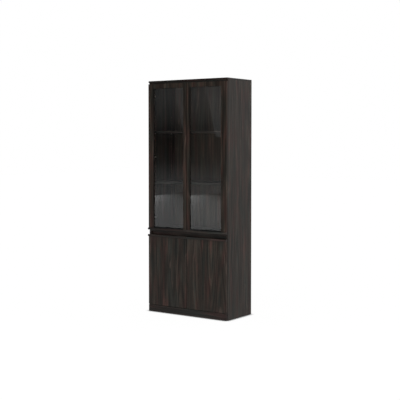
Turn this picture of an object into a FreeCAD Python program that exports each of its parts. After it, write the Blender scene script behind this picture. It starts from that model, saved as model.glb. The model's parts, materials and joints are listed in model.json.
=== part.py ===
import FreeCAD, Part
import Sketcher
import math
import os
import re

# A tall bookcase: two glass doors over two panel doors, hung on concealed hinges.
# Axes: +X to the right, +Y to the back, +Z up. The doors face -Y. The origin lies on the floor
# under the middle of the overall box. Right-hand pieces are drawn, left-hand ones are mirrored.

SIZES = {
    # overall
    "height": (2200, "floor to the top of the cover board"),
    "carcass_width": (900, "over both sides"),
    "carcass_depth": (400, "front edge to back edge of the sides"),
    # boards
    "board": (18, "sides, bottom, shelves and rails"),
    "thick_board": (25, "middle panel and top panel"),
    "top_thickness": (16, "cover board"),
    "top_overhang": (12, "cover board beyond the front edges of the sides"),
    "edge_round": (1.5, "rounding of banded edges"),
    "board_play": (1, "loose shelf to each side"),
    # foot
    "glide_height": (2.5, "plastic glide under a side"),
    "glide_radius": (8, "plastic glide"),
    "glide_inset": (40, "glide centre from the front and back edges"),
    "plinth_height": (64, "floor to the underside of the bottom panel"),
    "plinth_thickness": (16, "front plinth board"),
    "plinth_back_inset": (42, "rear plinth board from the back edge"),
    # back
    "back_thickness": (4, "hardboard back"),
    "groove_play": (0.2, "each side of the hardboard in its groove"),
    "groove_depth": (8, "groove for the hardboard"),
    "groove_inset": (10, "groove from the back edge"),
    "profile_height": (20, "flange of the H-profile behind the middle panel"),
    "profile_wall": (1, "wall of the H-profile"),
    "profile_play": (1, "middle panel to the H-profile"),
    # doors
    "door_thickness": (16, "frames and panels"),
    "door_gap": (1.5, "back of a door to the front edge of a side"),
    "door_reveal": (2, "door edge inside the outer face of the side"),
    "door_round": (2, "rounding of the long outer edges of doors"),
    "meeting_gap": (3, "between the doors of a pair"),
    "door_top_gap": (14, "underside of the cover board to the glass doors"),
    "plinth_gap": (3, "plinth to the panel doors"),
    "panel_door_height": (673.5, "panel door with its handle strip"),
    "finger_gap": (45, "between the upper and lower handle strips"),
    "middle_show": (17.5, "middle panel seen below the upper handle strips"),
    "recess_setback": (20, "recess rail behind the front edges"),
    "recess_height": (65, "recess rail"),
    # handle strips
    "strip_height": (18, "handle strip"),
    "strip_reach": (12, "handle strip beyond the door face"),
    "strip_round": (2.5, "rounding of the long front edges"),
    # glass door
    "hinge_stile": (62, "frame beside the hinges"),
    "meeting_stile": (36, "frame at the free edge"),
    "top_rail": (44, "frame above the glass"),
    "frame_lip": (6, "frame in front of the glass rebate"),
    "rebate": (8, "rebate behind the frame lip"),
    "glass_thickness": (4, "pane"),
    "glass_play": (1.5, "pane edge to the rebate"),
    "seal_thickness": (1, "rubber strip in front of the pane"),
    "seal_show": (2, "rubber strip seen beside the frame"),
    "sill_seal": (8, "rubber strip seen above the handle strip"),
    "bead_thickness": (4.5, "strip behind the pane"),
    "bead_play": (0.3, "bead to the rebate and to its neighbour"),
    # shelves
    "shelf_setback": (20, "shelf behind the front edges"),
    "shelf_upper_height": (1707, "floor to the underside"),
    "shelf_middle_height": (1227, "floor to the underside"),
    "shelf_lower_height": (414, "floor to the underside"),
    "hole_pitch": (32, "between shelf pin holes"),
    "pin_radius": (2.5, "shelf pin"),
    "pin_play": (0.1, "shelf pin in its hole"),
    "pin_length": (9, "shelf pin in the side"),
    "pin_seat": (8, "flat of a shelf pin under the shelf"),
    "pin_flat": (1.5, "thickness of the flat"),
    "pin_half": (5, "half width of the flat and the collar"),
    "pin_collar": (1.2, "thickness of the collar on the side"),
    "pin_drop": (8, "height of the collar"),
    "pin_front": (50, "front pins behind the front edge of the shelf"),
    "pin_back": (60, "rear pins before the back edge of the shelf"),
    # knock-down fittings
    "cam_radius": (7.5, "cam housing"),
    "cam_height": (12, "cam housing"),
    "cam_inset": (34, "cam centre from the end of its panel"),
    "cam_front": (60, "cam behind the front edge"),
    "bolt_radius": (3.5, "cam bolt"),
    "bolt_seat": (11, "cam bolt in the side"),
    "fit_play": (0.1, "fitting in its bore"),
    "dowel_radius": (4, "dowel"),
    "dowel_seat": (11, "dowel in the side"),
    "dowel_length": (33, "dowel"),
    "dowel_back": (70, "dowel before the back edge"),
    # concealed hinge, measured from the door's outer edge and the front edge of the side
    "hinge_inset_upper": (113, "outer hinges from the ends of a glass door"),
    "hinge_inset_lower": (100, "hinges from the ends of a panel door"),
    "cup_edge": (3, "cup from the door's edge"),
    "cup_radius": (17.5, "cup"),
    "cup_depth": (12, "cup in the door"),
    "cup_wall": (0.6, "cup"),
    "cup_lip": (0.5, "round flange beyond the cup"),
    "cup_rim": (0.8, "flange on the door's back"),
    "cup_ear": (31, "half length of the flange"),
    "cup_ear_width": (12, "flange"),
    "plate_base": (2, "wings of the mounting plate"),
    "plate_wing": (26, "half length of the wings"),
    "plate_wing_width": (18, "wings"),
    "plate_rise": (8, "middle block of the mounting plate"),
    "plate_half": (5, "half width of the block"),
    "plate_front": (20, "block behind the front edge of the side"),
    "plate_length": (40, "block"),
    "arm_sheet": (1.6, "arm"),
    "arm_play": (0.4, "arm beside the block"),
    "arm_end": (66, "arm behind the front edge of the side"),
    "arm_bend": (20, "start of the arm's nose"),
    "arm_skirt": (5, "arm cheek beside the block"),
    "nose_inset": (34, "link pin from the door's outer edge"),
    "nose_half": (2.2, "arm around the link pin"),
    "nose_top": (6, "outer end of the nose's slope"),
    "nose_heel": (4, "inner end of the nose's slope"),
    "nose_corner": (1, "outer corner of the nose above the pin"),
    "nose_chamfer": (1.5, "outer face beyond the pin where it passes the cup's flange"),
    "nose_toe": (0.8, "outer corner of the nose's tip beyond the pin"),
    "nose_slot": (3.4, "open end of the crown above the pin"),
    "link_pin": (1.5, "pin radius"),
    "link_play": (0.1, "link on its pin"),
    "link_eye": (2.4, "eye radius"),
    "link_sheet": (1.6, "link"),
    "link_half": (4.5, "half width of the link"),
    "knuckle_inset": (7.5, "link knuckle from the door's edge"),
    "knuckle_depth": (5.5, "link knuckle in front of the door's back"),
    "neck_depth": (7.5, "lowest bend of the link in front of the door's back"),
    "neck_inset": (14, "lowest bend of the link from the door's edge"),
    "throat_run": (4, "first bend of the link from its pin and above its lowest bend"),
    # door bumpers
    "bumper_radius": (3, "bumper"),
    "bumper_play": (0.3, "bumper to the carcass"),
    "bumper_inset": (20, "bumper from the free edge"),
    "bumper_rise": (4, "bumper from the end of the door"),
}

COUNTS = {
    "few_flats": (8, "flats of the small bars and bores that repeat"),
    "many_flats": (20, "flats of the larger ones"),
}

PLACES = {
    "half_width": "carcass_width / 2",
    "side_in": "carcass_width / 2 - board",
    "door_reach": "door_gap + door_thickness",
    "front": "(door_reach + strip_reach - carcass_depth) / 2",
    "back": "front + carcass_depth",
    "door_back": "front - door_gap",
    "door_face": "front - door_reach",
    "door_edge": "half_width - door_reveal",
    "door_free": "meeting_gap / 2",
    "groove_back": "back - groove_inset",
    "groove_front": "groove_back - back_thickness - 2 * groove_play",
    "sheet_back": "groove_back - groove_play",
    "sheet_front": "sheet_back - back_thickness",
    "top_front": "front - top_overhang",
    "top_under": "height - top_thickness",
    "top_panel_under": "top_under - thick_board",
    "floor_top": "plinth_height + board",
    "panel_door_low": "plinth_height + plinth_gap",
    "panel_door_top": "panel_door_low + panel_door_height",
    "glass_door_low": "panel_door_top + finger_gap",
    "glass_door_top": "top_under - door_top_gap",
    "middle_low": "glass_door_low - middle_show",
    "middle_top": "middle_low + thick_board",
    "middle_mid": "middle_low + thick_board / 2",
    "middle_back": "sheet_front - groove_play - profile_wall - profile_play",
    "recess_low": "middle_low - recess_height",
    "top_panel_mid": "top_under - thick_board / 2",
    "bottom_panel_mid": "floor_top - board / 2",
    "cam_x": "side_in - cam_inset",
    "cam_y": "front + cam_front",
    "dowel_y": "back - dowel_back",
    "recess_rail_y": "front + recess_setback + board / 2",
    "recess_rail_mid": "recess_low + recess_height / 2",
    "plinth_back_y": "back - plinth_back_inset - board / 2",
    "plinth_mid": "(glide_height + plinth_height) / 2",
    "glide_x": "half_width - board / 2",
    "glide_front": "front + glide_inset",
    "glide_rear": "back - glide_inset",
    "strip_face": "door_face - strip_reach",
    "frame_low": "glass_door_low + strip_height",
    "panel_top": "panel_door_top - strip_height",
    "view_side": "door_edge - hinge_stile",
    "view_free": "door_free + meeting_stile",
    "view_top": "glass_door_top - top_rail",
    "rebate_face": "door_face + frame_lip",
    "glass_face": "rebate_face + seal_thickness",
    "glass_back": "glass_face + glass_thickness",
    "shelf_half": "side_in - board_play",
    "shelf_front": "front + shelf_setback",
    "shelf_back": "sheet_front - board_play",
    "row_front": "shelf_front + pin_front",
    "row_back": "shelf_back - pin_back",
    "plate_top": "board - door_reveal + plate_rise",
    "cup_centre": "cup_edge + cup_radius",
    "hinge_low": "glass_door_low + hinge_inset_upper",
    "hinge_high": "glass_door_top - hinge_inset_upper",
    "hinge_mid": "(hinge_low + hinge_high) / 2",
    "panel_hinge_low": "panel_door_low + hinge_inset_lower",
    "panel_hinge_high": "panel_door_top - hinge_inset_lower",
}

FIXED_PANELS = {"top_panel": "top_panel_mid", "middle_panel": "middle_mid",
                "bottom_panel": "bottom_panel_mid"}
RAILS = {"recess_rail": ("recess_rail_y", "recess_rail_mid"),
         "plinth_back": ("plinth_back_y", "plinth_mid")}
SHELVES = {"shelf_upper": "shelf_upper_height", "shelf_middle": "shelf_middle_height",
           "shelf_lower": "shelf_lower_height"}
PIN_ROWS = ("row_front", "row_back")
NEAR = 0.01
LONG_EDGE = 100

ALONG = {
    "+x": FreeCAD.Rotation(FreeCAD.Vector(0, 1, 0), 90),
    "-x": FreeCAD.Rotation(FreeCAD.Vector(0, 1, 0), -90),
    "+y": FreeCAD.Rotation(FreeCAD.Vector(1, 0, 0), -90),
    "-y": FreeCAD.Rotation(FreeCAD.Vector(1, 0, 0), 90),
    "+z": FreeCAD.Rotation(),
}

doc = FreeCAD.newDocument("Bookcase")
nodes = []


# ---------------------------------------------------------------- sizes and bindings

def make_sheet():
    """Write every driving dimension and count into the spreadsheet, one row each."""
    sheet = doc.addObject("Spreadsheet::Sheet", "Sizes")
    for row, (alias, (value, note)) in enumerate((SIZES | COUNTS).items(), start=1):
        sheet.set("A%d" % row, str(value))
        sheet.setAlias("A%d" % row, alias)
        sheet.set("B%d" % row, "'" + note)
    return sheet


def bound(text):
    """Turn names of sizes and places into references to the document."""
    def reference(match):
        name = match.group()
        if name in SIZES or name in COUNTS:
            return "Sizes." + name
        if name in PLACES:
            return "Places." + name
        return name
    return re.sub(r"[a-z][a-z_]*", reference, text)


def make_places():
    """Work the shared levels and planes out of the driving dimensions."""
    places = doc.addObject("App::VarSet", "Places")
    for name, text in PLACES.items():
        places.addProperty("App::PropertyFloat", name)
        places.setExpression(name, bound(text))
    return places


def size(name):
    """Current number of a size or a place."""
    return float(sheet.get(name) if name in SIZES else getattr(places, name))


def move_to(thing, x="0", y="0", z="0"):
    """Bind the position of an object."""
    for axis, text in (("x", x), ("y", y), ("z", z)):
        thing.setExpression("Placement.Base." + axis, bound(text))
    return thing


def node(thing, label):
    """Register an object as a finished piece, under the name of its file."""
    thing.Label = label
    nodes.append(thing)
    return thing


# ---------------------------------------------------------------- building blocks

def slab(name, x, y, z):
    """Board between a low and a high bound along each axis."""
    board = doc.addObject("Part::Box", name)
    for side, (low, high) in (("Length", x), ("Width", y), ("Height", z)):
        board.setExpression(side, bound("(%s) - (%s)" % (high, low)))
    return move_to(board, x[0], y[0], z[0])


def faceted(name, flats, radius, length, at, along):
    """Bar with flats, whose corners lie on the given radius."""
    bar = doc.addObject("Part::Prism", name)
    bar.setExpression("Polygon", bound(flats))
    bar.setExpression("Circumradius", bound(radius))
    bar.setExpression("Height", bound(length))
    bar.Placement.Rotation = ALONG[along]
    return move_to(bar, *at)


def faceted_bore(name, flats, radius, length, at, along):
    """Bore with flats, which clears the given radius."""
    return faceted(name, flats, "(%s) / cos(180 / %s)" % (radius, flats), length, at, along)


def cut(name, base, tools):
    """Take all the tools away from the base."""
    group = doc.addObject("Part::Compound", name + "_tools")
    group.Links = tools
    result = doc.addObject("Part::Cut", name)
    result.Base = base
    result.Tool = group
    return result


def fuse(name, *shapes):
    """Join shapes into one solid."""
    result = doc.addObject("Part::MultiFuse", name)
    result.Shapes = list(shapes)
    return result


def rounded(name, base, radius, wanted):
    """Round the edges for which wanted(edge) is true."""
    doc.recompute()
    result = doc.addObject("Part::Fillet", name)
    result.Base = base
    result.Edges = [
        (index, radius, radius)
        for index, edge in enumerate(base.Shape.Edges, start=1)
        if wanted(edge)
    ]
    return result


def mirrored(name, source):
    """Left-hand counterpart of a right-hand piece."""
    result = doc.addObject("Part::Mirroring", name)
    result.Source = source
    result.Normal = FreeCAD.Vector(1, 0, 0)
    return result


def copies(name, master, spots):
    """Separate solids like the master, one at each spot."""
    doc.recompute()
    solids = []
    for x, y, z in spots:
        solid = master.Shape.copy()
        solid.translate(FreeCAD.Vector(x, y, z))
        solids.append(solid)
    result = doc.addObject("Part::Feature", name)
    result.Shape = Part.makeCompound(solids)
    return result


def pair(name, right):
    """Node for the right-hand piece and node for its mirrored twin."""
    node(right, "right_" + name)
    node(mirrored("left_" + name, right), "left_" + name)


def sketch_on(body, role, name):
    """Sketch on one of the body's own origin planes."""
    sketch = body.newObject("Sketcher::SketchObject", name)
    plane = [item for item in body.Origin.OriginFeatures if item.Role == role][0]
    sketch.AttachmentSupport = [(plane, "")]
    sketch.MapMode = "FlatFace"
    return sketch


def polygon(sketch, corners):
    """Closed outline whose corners are bound to expressions."""
    count = len(corners)
    starts = [FreeCAD.Vector(index, index * index, 0) for index in range(count)]
    for index in range(count):
        sketch.addGeometry(Part.LineSegment(starts[index], starts[(index + 1) % count]))
    for index in range(count):
        sketch.addConstraint(Sketcher.Constraint("Coincident", index, 2, (index + 1) % count, 1))
    for index, (across, up) in enumerate(corners):
        for kind, text in (("DistanceX", across), ("DistanceY", up)):
            start = starts[index].x if kind == "DistanceX" else starts[index].y
            number = sketch.addConstraint(Sketcher.Constraint(kind, -1, 1, index, 1, start))
            sketch.setExpression("Constraints[%d]" % number, bound(text))


def circle(sketch, radius):
    """Circle around the sketch's origin."""
    sketch.addGeometry(Part.Circle(FreeCAD.Vector(), FreeCAD.Vector(0, 0, 1), 1))
    sketch.addConstraint(Sketcher.Constraint("Coincident", 0, 3, -1, 1))
    number = sketch.addConstraint(Sketcher.Constraint("Radius", 0, 1))
    sketch.setExpression("Constraints[%d]" % number, bound(radius))


def pad(body, sketch, length, both_ways=False, backwards=False):
    """Pad a sketch of the body."""
    feature = body.newObject("PartDesign::Pad", sketch.Name + "_pad")
    feature.Profile = sketch
    feature.setExpression("Length", bound(length))
    feature.Midplane = both_ways
    feature.Reversed = backwards
    body.Tip = feature
    return feature


def pocket(body, sketch, length, both_ways=False, backwards=False):
    """Cut a sketch out of the body and make sure that it took something away."""
    doc.recompute()
    before = body.Shape.Volume
    feature = body.newObject("PartDesign::Pocket", sketch.Name + "_pocket")
    feature.Profile = sketch
    feature.setExpression("Length", bound(length))
    feature.Midplane = both_ways
    feature.Reversed = backwards
    body.Tip = feature
    doc.recompute()
    if body.Shape.Volume >= before:
        raise ValueError(sketch.Name + " cuts nothing")
    return feature


def upright_door_corner(edge):
    """Long upright edge of a door, front or back."""
    box = edge.BoundBox
    at_end = [abs(box.XMin - size(end)) < NEAR for end in ("door_edge", "door_free")]
    return box.ZLength > LONG_EDGE and any(at_end)


# ---------------------------------------------------------------- carcass boards

def end_bores(x_end, inward, level):
    """Bores for the cam bolt and the dowel in one end of a fixed panel."""
    return [
        faceted_bore("bolt_bore", "few_flats", "bolt_radius + fit_play", "cam_inset",
                     (x_end, "cam_y", level), inward),
        faceted_bore("dowel_bore", "few_flats", "dowel_radius + fit_play",
                     "dowel_length - dowel_seat + fit_play", (x_end, "dowel_y", level), inward),
    ]


def fixed_panel(name, y_back, low, high, grooves=()):
    """Panel between the sides, bored for its cams and dowels."""
    level = FIXED_PANELS[name]
    tools = list(grooves)
    for x_end, inward, x_cam in (("side_in", "-x", "cam_x"), ("-side_in", "+x", "-cam_x")):
        tools += end_bores(x_end, inward, level)
        tools.append(faceted_bore("cam_bore", "many_flats", "cam_radius + fit_play",
                                  "%s + cam_height / 2 - %s" % (level, low),
                                  (x_cam, "cam_y", low), "+z"))
    stock = slab(name + "_stock", ("-side_in", "side_in"), ("front", y_back), (low, high))
    node(cut(name, stock, tools), name)


def back_groove(low, high):
    """Groove for the hardboard across a top or bottom panel."""
    return slab("groove", ("-side_in", "side_in"), ("groove_front", "groove_back"), (low, high))


def fixed_panels():
    """Top panel, middle panel and bottom panel."""
    top_groove = back_groove("top_panel_under", "top_panel_under + groove_depth")
    fixed_panel("top_panel", "back", "top_panel_under", "top_under", [top_groove])
    fixed_panel("middle_panel", "middle_back", "middle_low", "middle_top")
    bottom_groove = back_groove("floor_top - groove_depth", "floor_top")
    fixed_panel("bottom_panel", "back", "plinth_height", "floor_top", [bottom_groove])


def top_board():
    """Cover board with rounded front edges."""
    stock = slab("top_board_stock", ("-half_width", "half_width"), ("top_front", "back"),
                 ("top_under", "height"))

    def front_edge(edge):
        return edge.BoundBox.YMax < size("top_front") + NEAR
    node(rounded("top_board", stock, size("edge_round"), front_edge), "top_board")


def side_bore(radius, seat, y, z):
    """Bore in the inner face of the right-hand side."""
    return faceted_bore("side_bore", "few_flats", radius, seat, ("side_in", y, z), "+x")


def side_panels():
    """Sides with the back groove, the shelf pin holes and the bores of the fittings."""
    stock = slab("side_stock", ("side_in", "half_width"), ("front", "back"),
                 ("glide_height", "top_under"))
    tools = [slab("side_groove", ("side_in", "side_in + groove_depth"),
                  ("groove_front", "groove_back"), ("glide_height", "top_under"))]
    for low in SHELVES.values():
        for row in PIN_ROWS:
            for step in ("0", "hole_pitch"):
                tools.append(side_bore("pin_radius + pin_play", "pin_length + pin_play", row,
                                       "%s - pin_radius - %s" % (low, step)))
    for level in FIXED_PANELS.values():
        tools.append(side_bore("bolt_radius + fit_play", "bolt_seat + fit_play", "cam_y", level))
    for y, z in dowel_places():
        tools.append(side_bore("dowel_radius + fit_play", "dowel_seat + fit_play", y, z))
    right = node(cut("side_panel_right", stock, tools), "side_panel_right")
    node(mirrored("side_panel_left", right), "side_panel_left")


def dowel_places():
    """Names of the depth and the level of every dowel in a side."""
    return [("dowel_y", level) for level in FIXED_PANELS.values()] + list(RAILS.values())


def rail(name, low, high):
    """Upright rail between the sides with a dowel bore in each end."""
    y, z = RAILS[name]
    stock = slab(name + "_stock", ("-side_in", "side_in"), (y + " - board / 2", y + " + board / 2"),
                 (low, high))
    bores = [faceted_bore("rail_bore", "few_flats", "dowel_radius + fit_play",
                          "dowel_length - dowel_seat + fit_play", (x_end, y, z), inward)
             for x_end, inward in (("side_in", "-x"), ("-side_in", "+x"))]
    node(cut(name, stock, bores), name)


def rails_and_plinth():
    """Recess rail, rear plinth board and front plinth board."""
    rail("recess_rail", "recess_low", "middle_low")
    rail("plinth_back", "glide_height", "plinth_height")
    stock = slab("plinth_stock", ("-door_edge", "door_edge"), ("front - plinth_thickness", "front"),
                 ("glide_height", "plinth_height"))

    def outer_corner(edge):
        box = edge.BoundBox
        on_face = box.YMax < size("front") - size("plinth_thickness") + NEAR
        return on_face and box.XLength < NEAR
    node(rounded("plinth_front", stock, size("edge_round"), outer_corner), "plinth_front")


def back_sheets():
    """Two hardboard sheets and the H-profile that joins them behind the middle panel."""
    reach = "side_in + groove_depth - groove_play"
    x = ("-(%s)" % reach, reach)
    y = ("sheet_front", "sheet_back")
    web = "profile_wall / 2 + groove_play"
    upper = slab("back_panel_upper", x, y,
                 ("middle_mid + " + web, "top_panel_under + groove_depth - groove_play"))
    lower = slab("back_panel_lower", x, y,
                 ("floor_top - groove_depth + groove_play", "middle_mid - (%s)" % web))
    node(upper, "back_panel_upper")
    node(lower, "back_panel_lower")

    body = doc.addObject("PartDesign::Body", "back_joint_profile")
    sketch = sketch_on(body, "YZ_Plane", "profile_section")
    inner = "back_thickness / 2 + groove_play"
    outer = inner + " + profile_wall"
    half, thin = "profile_height / 2", "profile_wall / 2"
    corners = [(outer, half), (inner, half), (inner, thin), ("-(%s)" % inner, thin),
               ("-(%s)" % inner, half), ("-(%s)" % outer, half)]
    below = [(across, "-(%s)" % up) for across, up in reversed(corners)]
    polygon(sketch, corners + below)
    pad(body, sketch, "2 * side_in - 2 * board_play", both_ways=True)
    move_to(body, "0", "(sheet_front + sheet_back) / 2", "middle_mid")
    node(body, "back_joint_profile")


def loose_shelves():
    """Three shelves that lie on pins."""
    for name, low in SHELVES.items():
        node(slab(name, ("-shelf_half", "shelf_half"), ("shelf_front", "shelf_back"),
                  (low, low + " + board")), name)


def shelf_pins():
    """Steel pins with a collar on the side and a flat that carries the shelf."""
    shank = faceted("pin_shank", "few_flats", "pin_radius", "pin_length",
                    ("0", "0", "-pin_radius"), "+x")
    width = ("-pin_half", "pin_half")
    seat = slab("pin_seat_flat", ("-pin_seat", "0"), width, ("-pin_flat", "0"))
    collar = slab("pin_collar_plate", ("-pin_collar", "0"), width, ("-pin_drop", "0"))
    master = fuse("shelf_pin", shank, seat, collar)
    spots = [(size("side_in"), size(row), size(low)) for low in SHELVES.values()
             for row in PIN_ROWS]
    both_sides("shelf_pins", copies("pins_right", master, spots))


def both_sides(name, right):
    """One node that holds the right-hand solids and their mirrored twins."""
    left = mirrored(name + "_left", right)
    group = doc.addObject("Part::Compound", name)
    group.Links = [right, left]
    node(group, name)


# ---------------------------------------------------------------- fittings and glides

def cam_locks():
    """Cam housings with a slot for the bolt, and their bolts."""
    housing = faceted("cam_housing", "many_flats", "cam_radius", "cam_height",
                      ("0", "0", "-cam_height / 2"), "+z")
    slit = ("-(bolt_radius + 2 * fit_play)", "bolt_radius + 2 * fit_play")
    cam = cut("cam", housing, [slab("cam_slot", ("-fit_play", "cam_radius"), slit, slit)])
    bolt = faceted("bolt", "few_flats", "bolt_radius", "bolt_seat + cam_inset",
                   ("-cam_inset", "0", "0"), "+x")
    for name, master, x in (("cam_locks", cam, "cam_x"), ("cam_bolts", bolt, "side_in")):
        spots = [(size(x), size("cam_y"), size(level)) for level in FIXED_PANELS.values()]
        both_sides(name, copies(name + "_right", master, spots))


def dowels():
    """Beech dowels in the ends of the fixed panels and rails."""
    master = faceted("dowel", "few_flats", "dowel_radius", "dowel_length",
                     ("dowel_seat - dowel_length", "0", "0"), "+x")
    spots = [(size("side_in"), size(y), size(z)) for y, z in dowel_places()]
    both_sides("dowels", copies("dowels_right", master, spots))


def floor_glides():
    """Plastic glides nailed under the sides."""
    master = faceted("glide", "many_flats", "glide_radius", "glide_height",
                     ("0", "0", "0"), "+z")
    spots = [(size("glide_x"), size(y), 0) for y in ("glide_front", "glide_rear")]
    both_sides("floor_glides", copies("glides_right", master, spots))


# ---------------------------------------------------------------- concealed hinges
# A hinge is drawn in the plane of the floor: x is 0 at the door's outer edge and falls
# towards the free edge, y is 0 at the front edge of the side, z is 0 at its own middle.
# The door turns about a line 5 inside its outer edge and 10 in front of its back.

def hinge_plate():
    """Mounting plate: a block with two wings, screwed to the inside of the side."""
    face = "door_reveal - board"
    block = slab("plate_block", ("-plate_top", face), ("plate_front", "plate_front + plate_length"),
                 ("-plate_half", "plate_half"))
    middle = "(plate_front + plate_length / 2)"
    wings = slab("plate_wings", (face + " - plate_base", face),
                 (middle + " - plate_wing_width / 2", middle + " + plate_wing_width / 2"),
                 ("-plate_wing", "plate_wing"))
    return fuse("hinge_plate", block, wings)


def hinge_arm():
    """Arm: a channel over the block that ends in two cheeks around the link pin."""
    body = doc.addObject("PartDesign::Body", "hinge_arm_body")
    outside = sketch_on(body, "XY_Plane", "arm_outline")
    crown = "plate_top + arm_sheet"
    nose = "nose_inset + nose_half"
    polygon(outside, [
        ("-(plate_top - arm_skirt)", "arm_end"),
        ("-(%s)" % crown, "arm_end"),
        ("-(%s)" % crown, "arm_bend"),
        ("-(%s)" % nose, "nose_top"),
        ("-(%s)" % nose, "nose_corner"),
        ("-(nose_inset + nose_chamfer)", "-nose_corner / 2"),
        ("-(nose_inset + nose_toe)", "-nose_half"),
        ("-(nose_inset - nose_half)", "-nose_half"),
        ("-(nose_inset - nose_half)", "nose_heel"),
        ("-(plate_top - arm_skirt)", "arm_bend"),
    ])
    half = "plate_half + arm_play"
    pad(body, outside, "2 * (%s + arm_sheet)" % half, both_ways=True)
    inside = sketch_on(body, "XY_Plane", "arm_hollow")
    polygon(inside, [
        ("0", "2 * arm_end"),
        ("-plate_top", "2 * arm_end"),
        ("-plate_top", "arm_bend - arm_sheet / 2"),
        ("-(%s - arm_sheet)" % nose, "nose_top - arm_sheet / 2"),
        ("-(%s - arm_sheet)" % nose, "nose_slot"),
        ("-(%s + arm_sheet)" % nose, "nose_slot"),
        ("-(%s + arm_sheet)" % nose, "-2 * nose_half"),
        ("0", "-2 * nose_half"),
    ])
    pocket(body, inside, "2 * (%s)" % half, both_ways=True)
    pin = faceted("link_pin_bar", "few_flats", "link_pin", "2 * (%s) + arm_sheet" % half,
                  ("-nose_inset", "0", "-(%s) - arm_sheet / 2" % half), "+z")
    return fuse("hinge_arm", body, pin)


def hinge_cup():
    """Cup: pressed steel pot with a flange that is screwed to the door's back."""
    body = doc.addObject("PartDesign::Body", "hinge_cup")
    ears = sketch_on(body, "XZ_Plane", "cup_ears")
    polygon(ears, [("0", "cup_ear"), ("-cup_ear_width", "cup_ear"),
                   ("-cup_ear_width", "-cup_ear"), ("0", "-cup_ear")])
    pad(body, ears, "cup_rim", backwards=True)
    section = sketch_on(body, "XY_Plane", "cup_section")
    polygon(section, [("0", "-cup_depth"), ("cup_radius", "-cup_depth"), ("cup_radius", "0"),
                      ("cup_radius + cup_lip", "0"), ("cup_radius + cup_lip", "cup_rim"),
                      ("0", "cup_rim")])
    turned = body.newObject("PartDesign::Revolution", "cup_turned")
    turned.Profile = section
    turned.ReferenceAxis = (section, ["V_Axis"])
    turned.Angle = 360
    body.Tip = turned
    hollow = sketch_on(body, "XZ_Plane", "cup_hollow")
    circle(hollow, "cup_radius - cup_wall")
    pocket(body, hollow, "2 * (cup_depth - cup_wall)", both_ways=True)
    return move_to(body, "-cup_centre", "-door_gap", "0")


def hinge_link():
    """Link: bent strip with an eye on the arm's pin and a knuckle inside the cup."""
    back = -size("door_gap")
    eye = FreeCAD.Vector(-size("nose_inset"), 0, 0)
    knuckle = FreeCAD.Vector(-size("knuckle_inset"), back - size("knuckle_depth"), 0)
    neck = FreeCAD.Vector(-size("neck_inset"), back - size("neck_depth"), 0)
    run = size("throat_run")
    throat = FreeCAD.Vector(eye.x + run, neck.y + run, 0)
    wire = Part.makePolygon([eye, throat, neck, knuckle])
    sharp = 2
    strip = Part.Face(wire.makeOffset2D(size("link_sheet") / 2, sharp, False, False, False))
    base = FreeCAD.Vector(0, 0, -size("link_half"))
    across = FreeCAD.Vector(0, 0, 2 * size("link_half"))
    flats = round(sheet.get("few_flats"))
    step = 2 * math.pi / flats

    def bar(radius, centre):
        corners = [
            centre + base + FreeCAD.Vector(math.cos(turn * step), math.sin(turn * step), 0) * radius
            for turn in range(flats + 1)
        ]
        return Part.Face(Part.makePolygon(corners)).extrude(across)

    strip.translate(base)
    solid = strip.extrude(across)
    solid = solid.fuse([bar(size("link_eye"), eye), bar(size("link_pin"), knuckle)])
    bore = (size("link_pin") + size("link_play")) / math.cos(step / 2)
    solid = solid.cut(bar(bore, eye)).removeSplitter()
    link = doc.addObject("Part::Feature", "hinge_link")
    link.Shape = solid
    return link


def hinges():
    """All the carcass and door pieces of the concealed hinges."""
    edge, front = size("door_edge"), size("front")
    upper = [size(name) for name in ("hinge_low", "hinge_mid", "hinge_high")]
    lower = [size(name) for name in ("panel_hinge_low", "panel_hinge_high")]
    everywhere = [(edge, front, z) for z in lower + upper]
    both_sides("hinge_plates", copies("plates_right", hinge_plate(), everywhere))
    both_sides("hinge_arms", copies("arms_right", hinge_arm(), everywhere))
    cup, link = hinge_cup(), hinge_link()
    for door, levels in (("glass_door", upper), ("panel_door", lower)):
        spots = [(edge, front, z) for z in levels]
        pair(door + "_hinge_cups", copies("right_%s_hinge_cups" % door, cup, spots))
        pair(door + "_hinge_links", copies("right_%s_hinge_links" % door, link, spots))


# ---------------------------------------------------------------- doors

def cup_bores(levels):
    """Pockets in the back of a door for the hinge cups."""
    x = "door_edge - cup_centre"
    return [faceted_bore("cup_bore", "many_flats", "cup_radius + fit_play", "cup_depth + fit_play",
                         (x, "door_back", level), "-y") for level in levels]


def handle_strip(name, low):
    """Strip across the end of a door; it stands out in front as the handle."""
    stock = slab(name + "_stock", ("door_free", "door_edge"), ("strip_face", "door_back"),
                 (low, low + " + strip_height"))

    def long_front(edge):
        box = edge.BoundBox
        return box.XLength > LONG_EDGE and box.YMax < size("strip_face") + NEAR
    pair(name, rounded("right_" + name, stock, size("strip_round"), long_front))


def bumpers(name, *levels):
    """Clear bumpers on the back of a door, near its free edge."""
    master = faceted(name + "_one", "few_flats", "bumper_radius", "door_gap - bumper_play",
                     ("0", "0", "0"), "+y")
    x = size("door_free") + size("bumper_inset")
    pair(name, copies("right_" + name, master, [(x, size("door_back"), z) for z in levels]))


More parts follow.
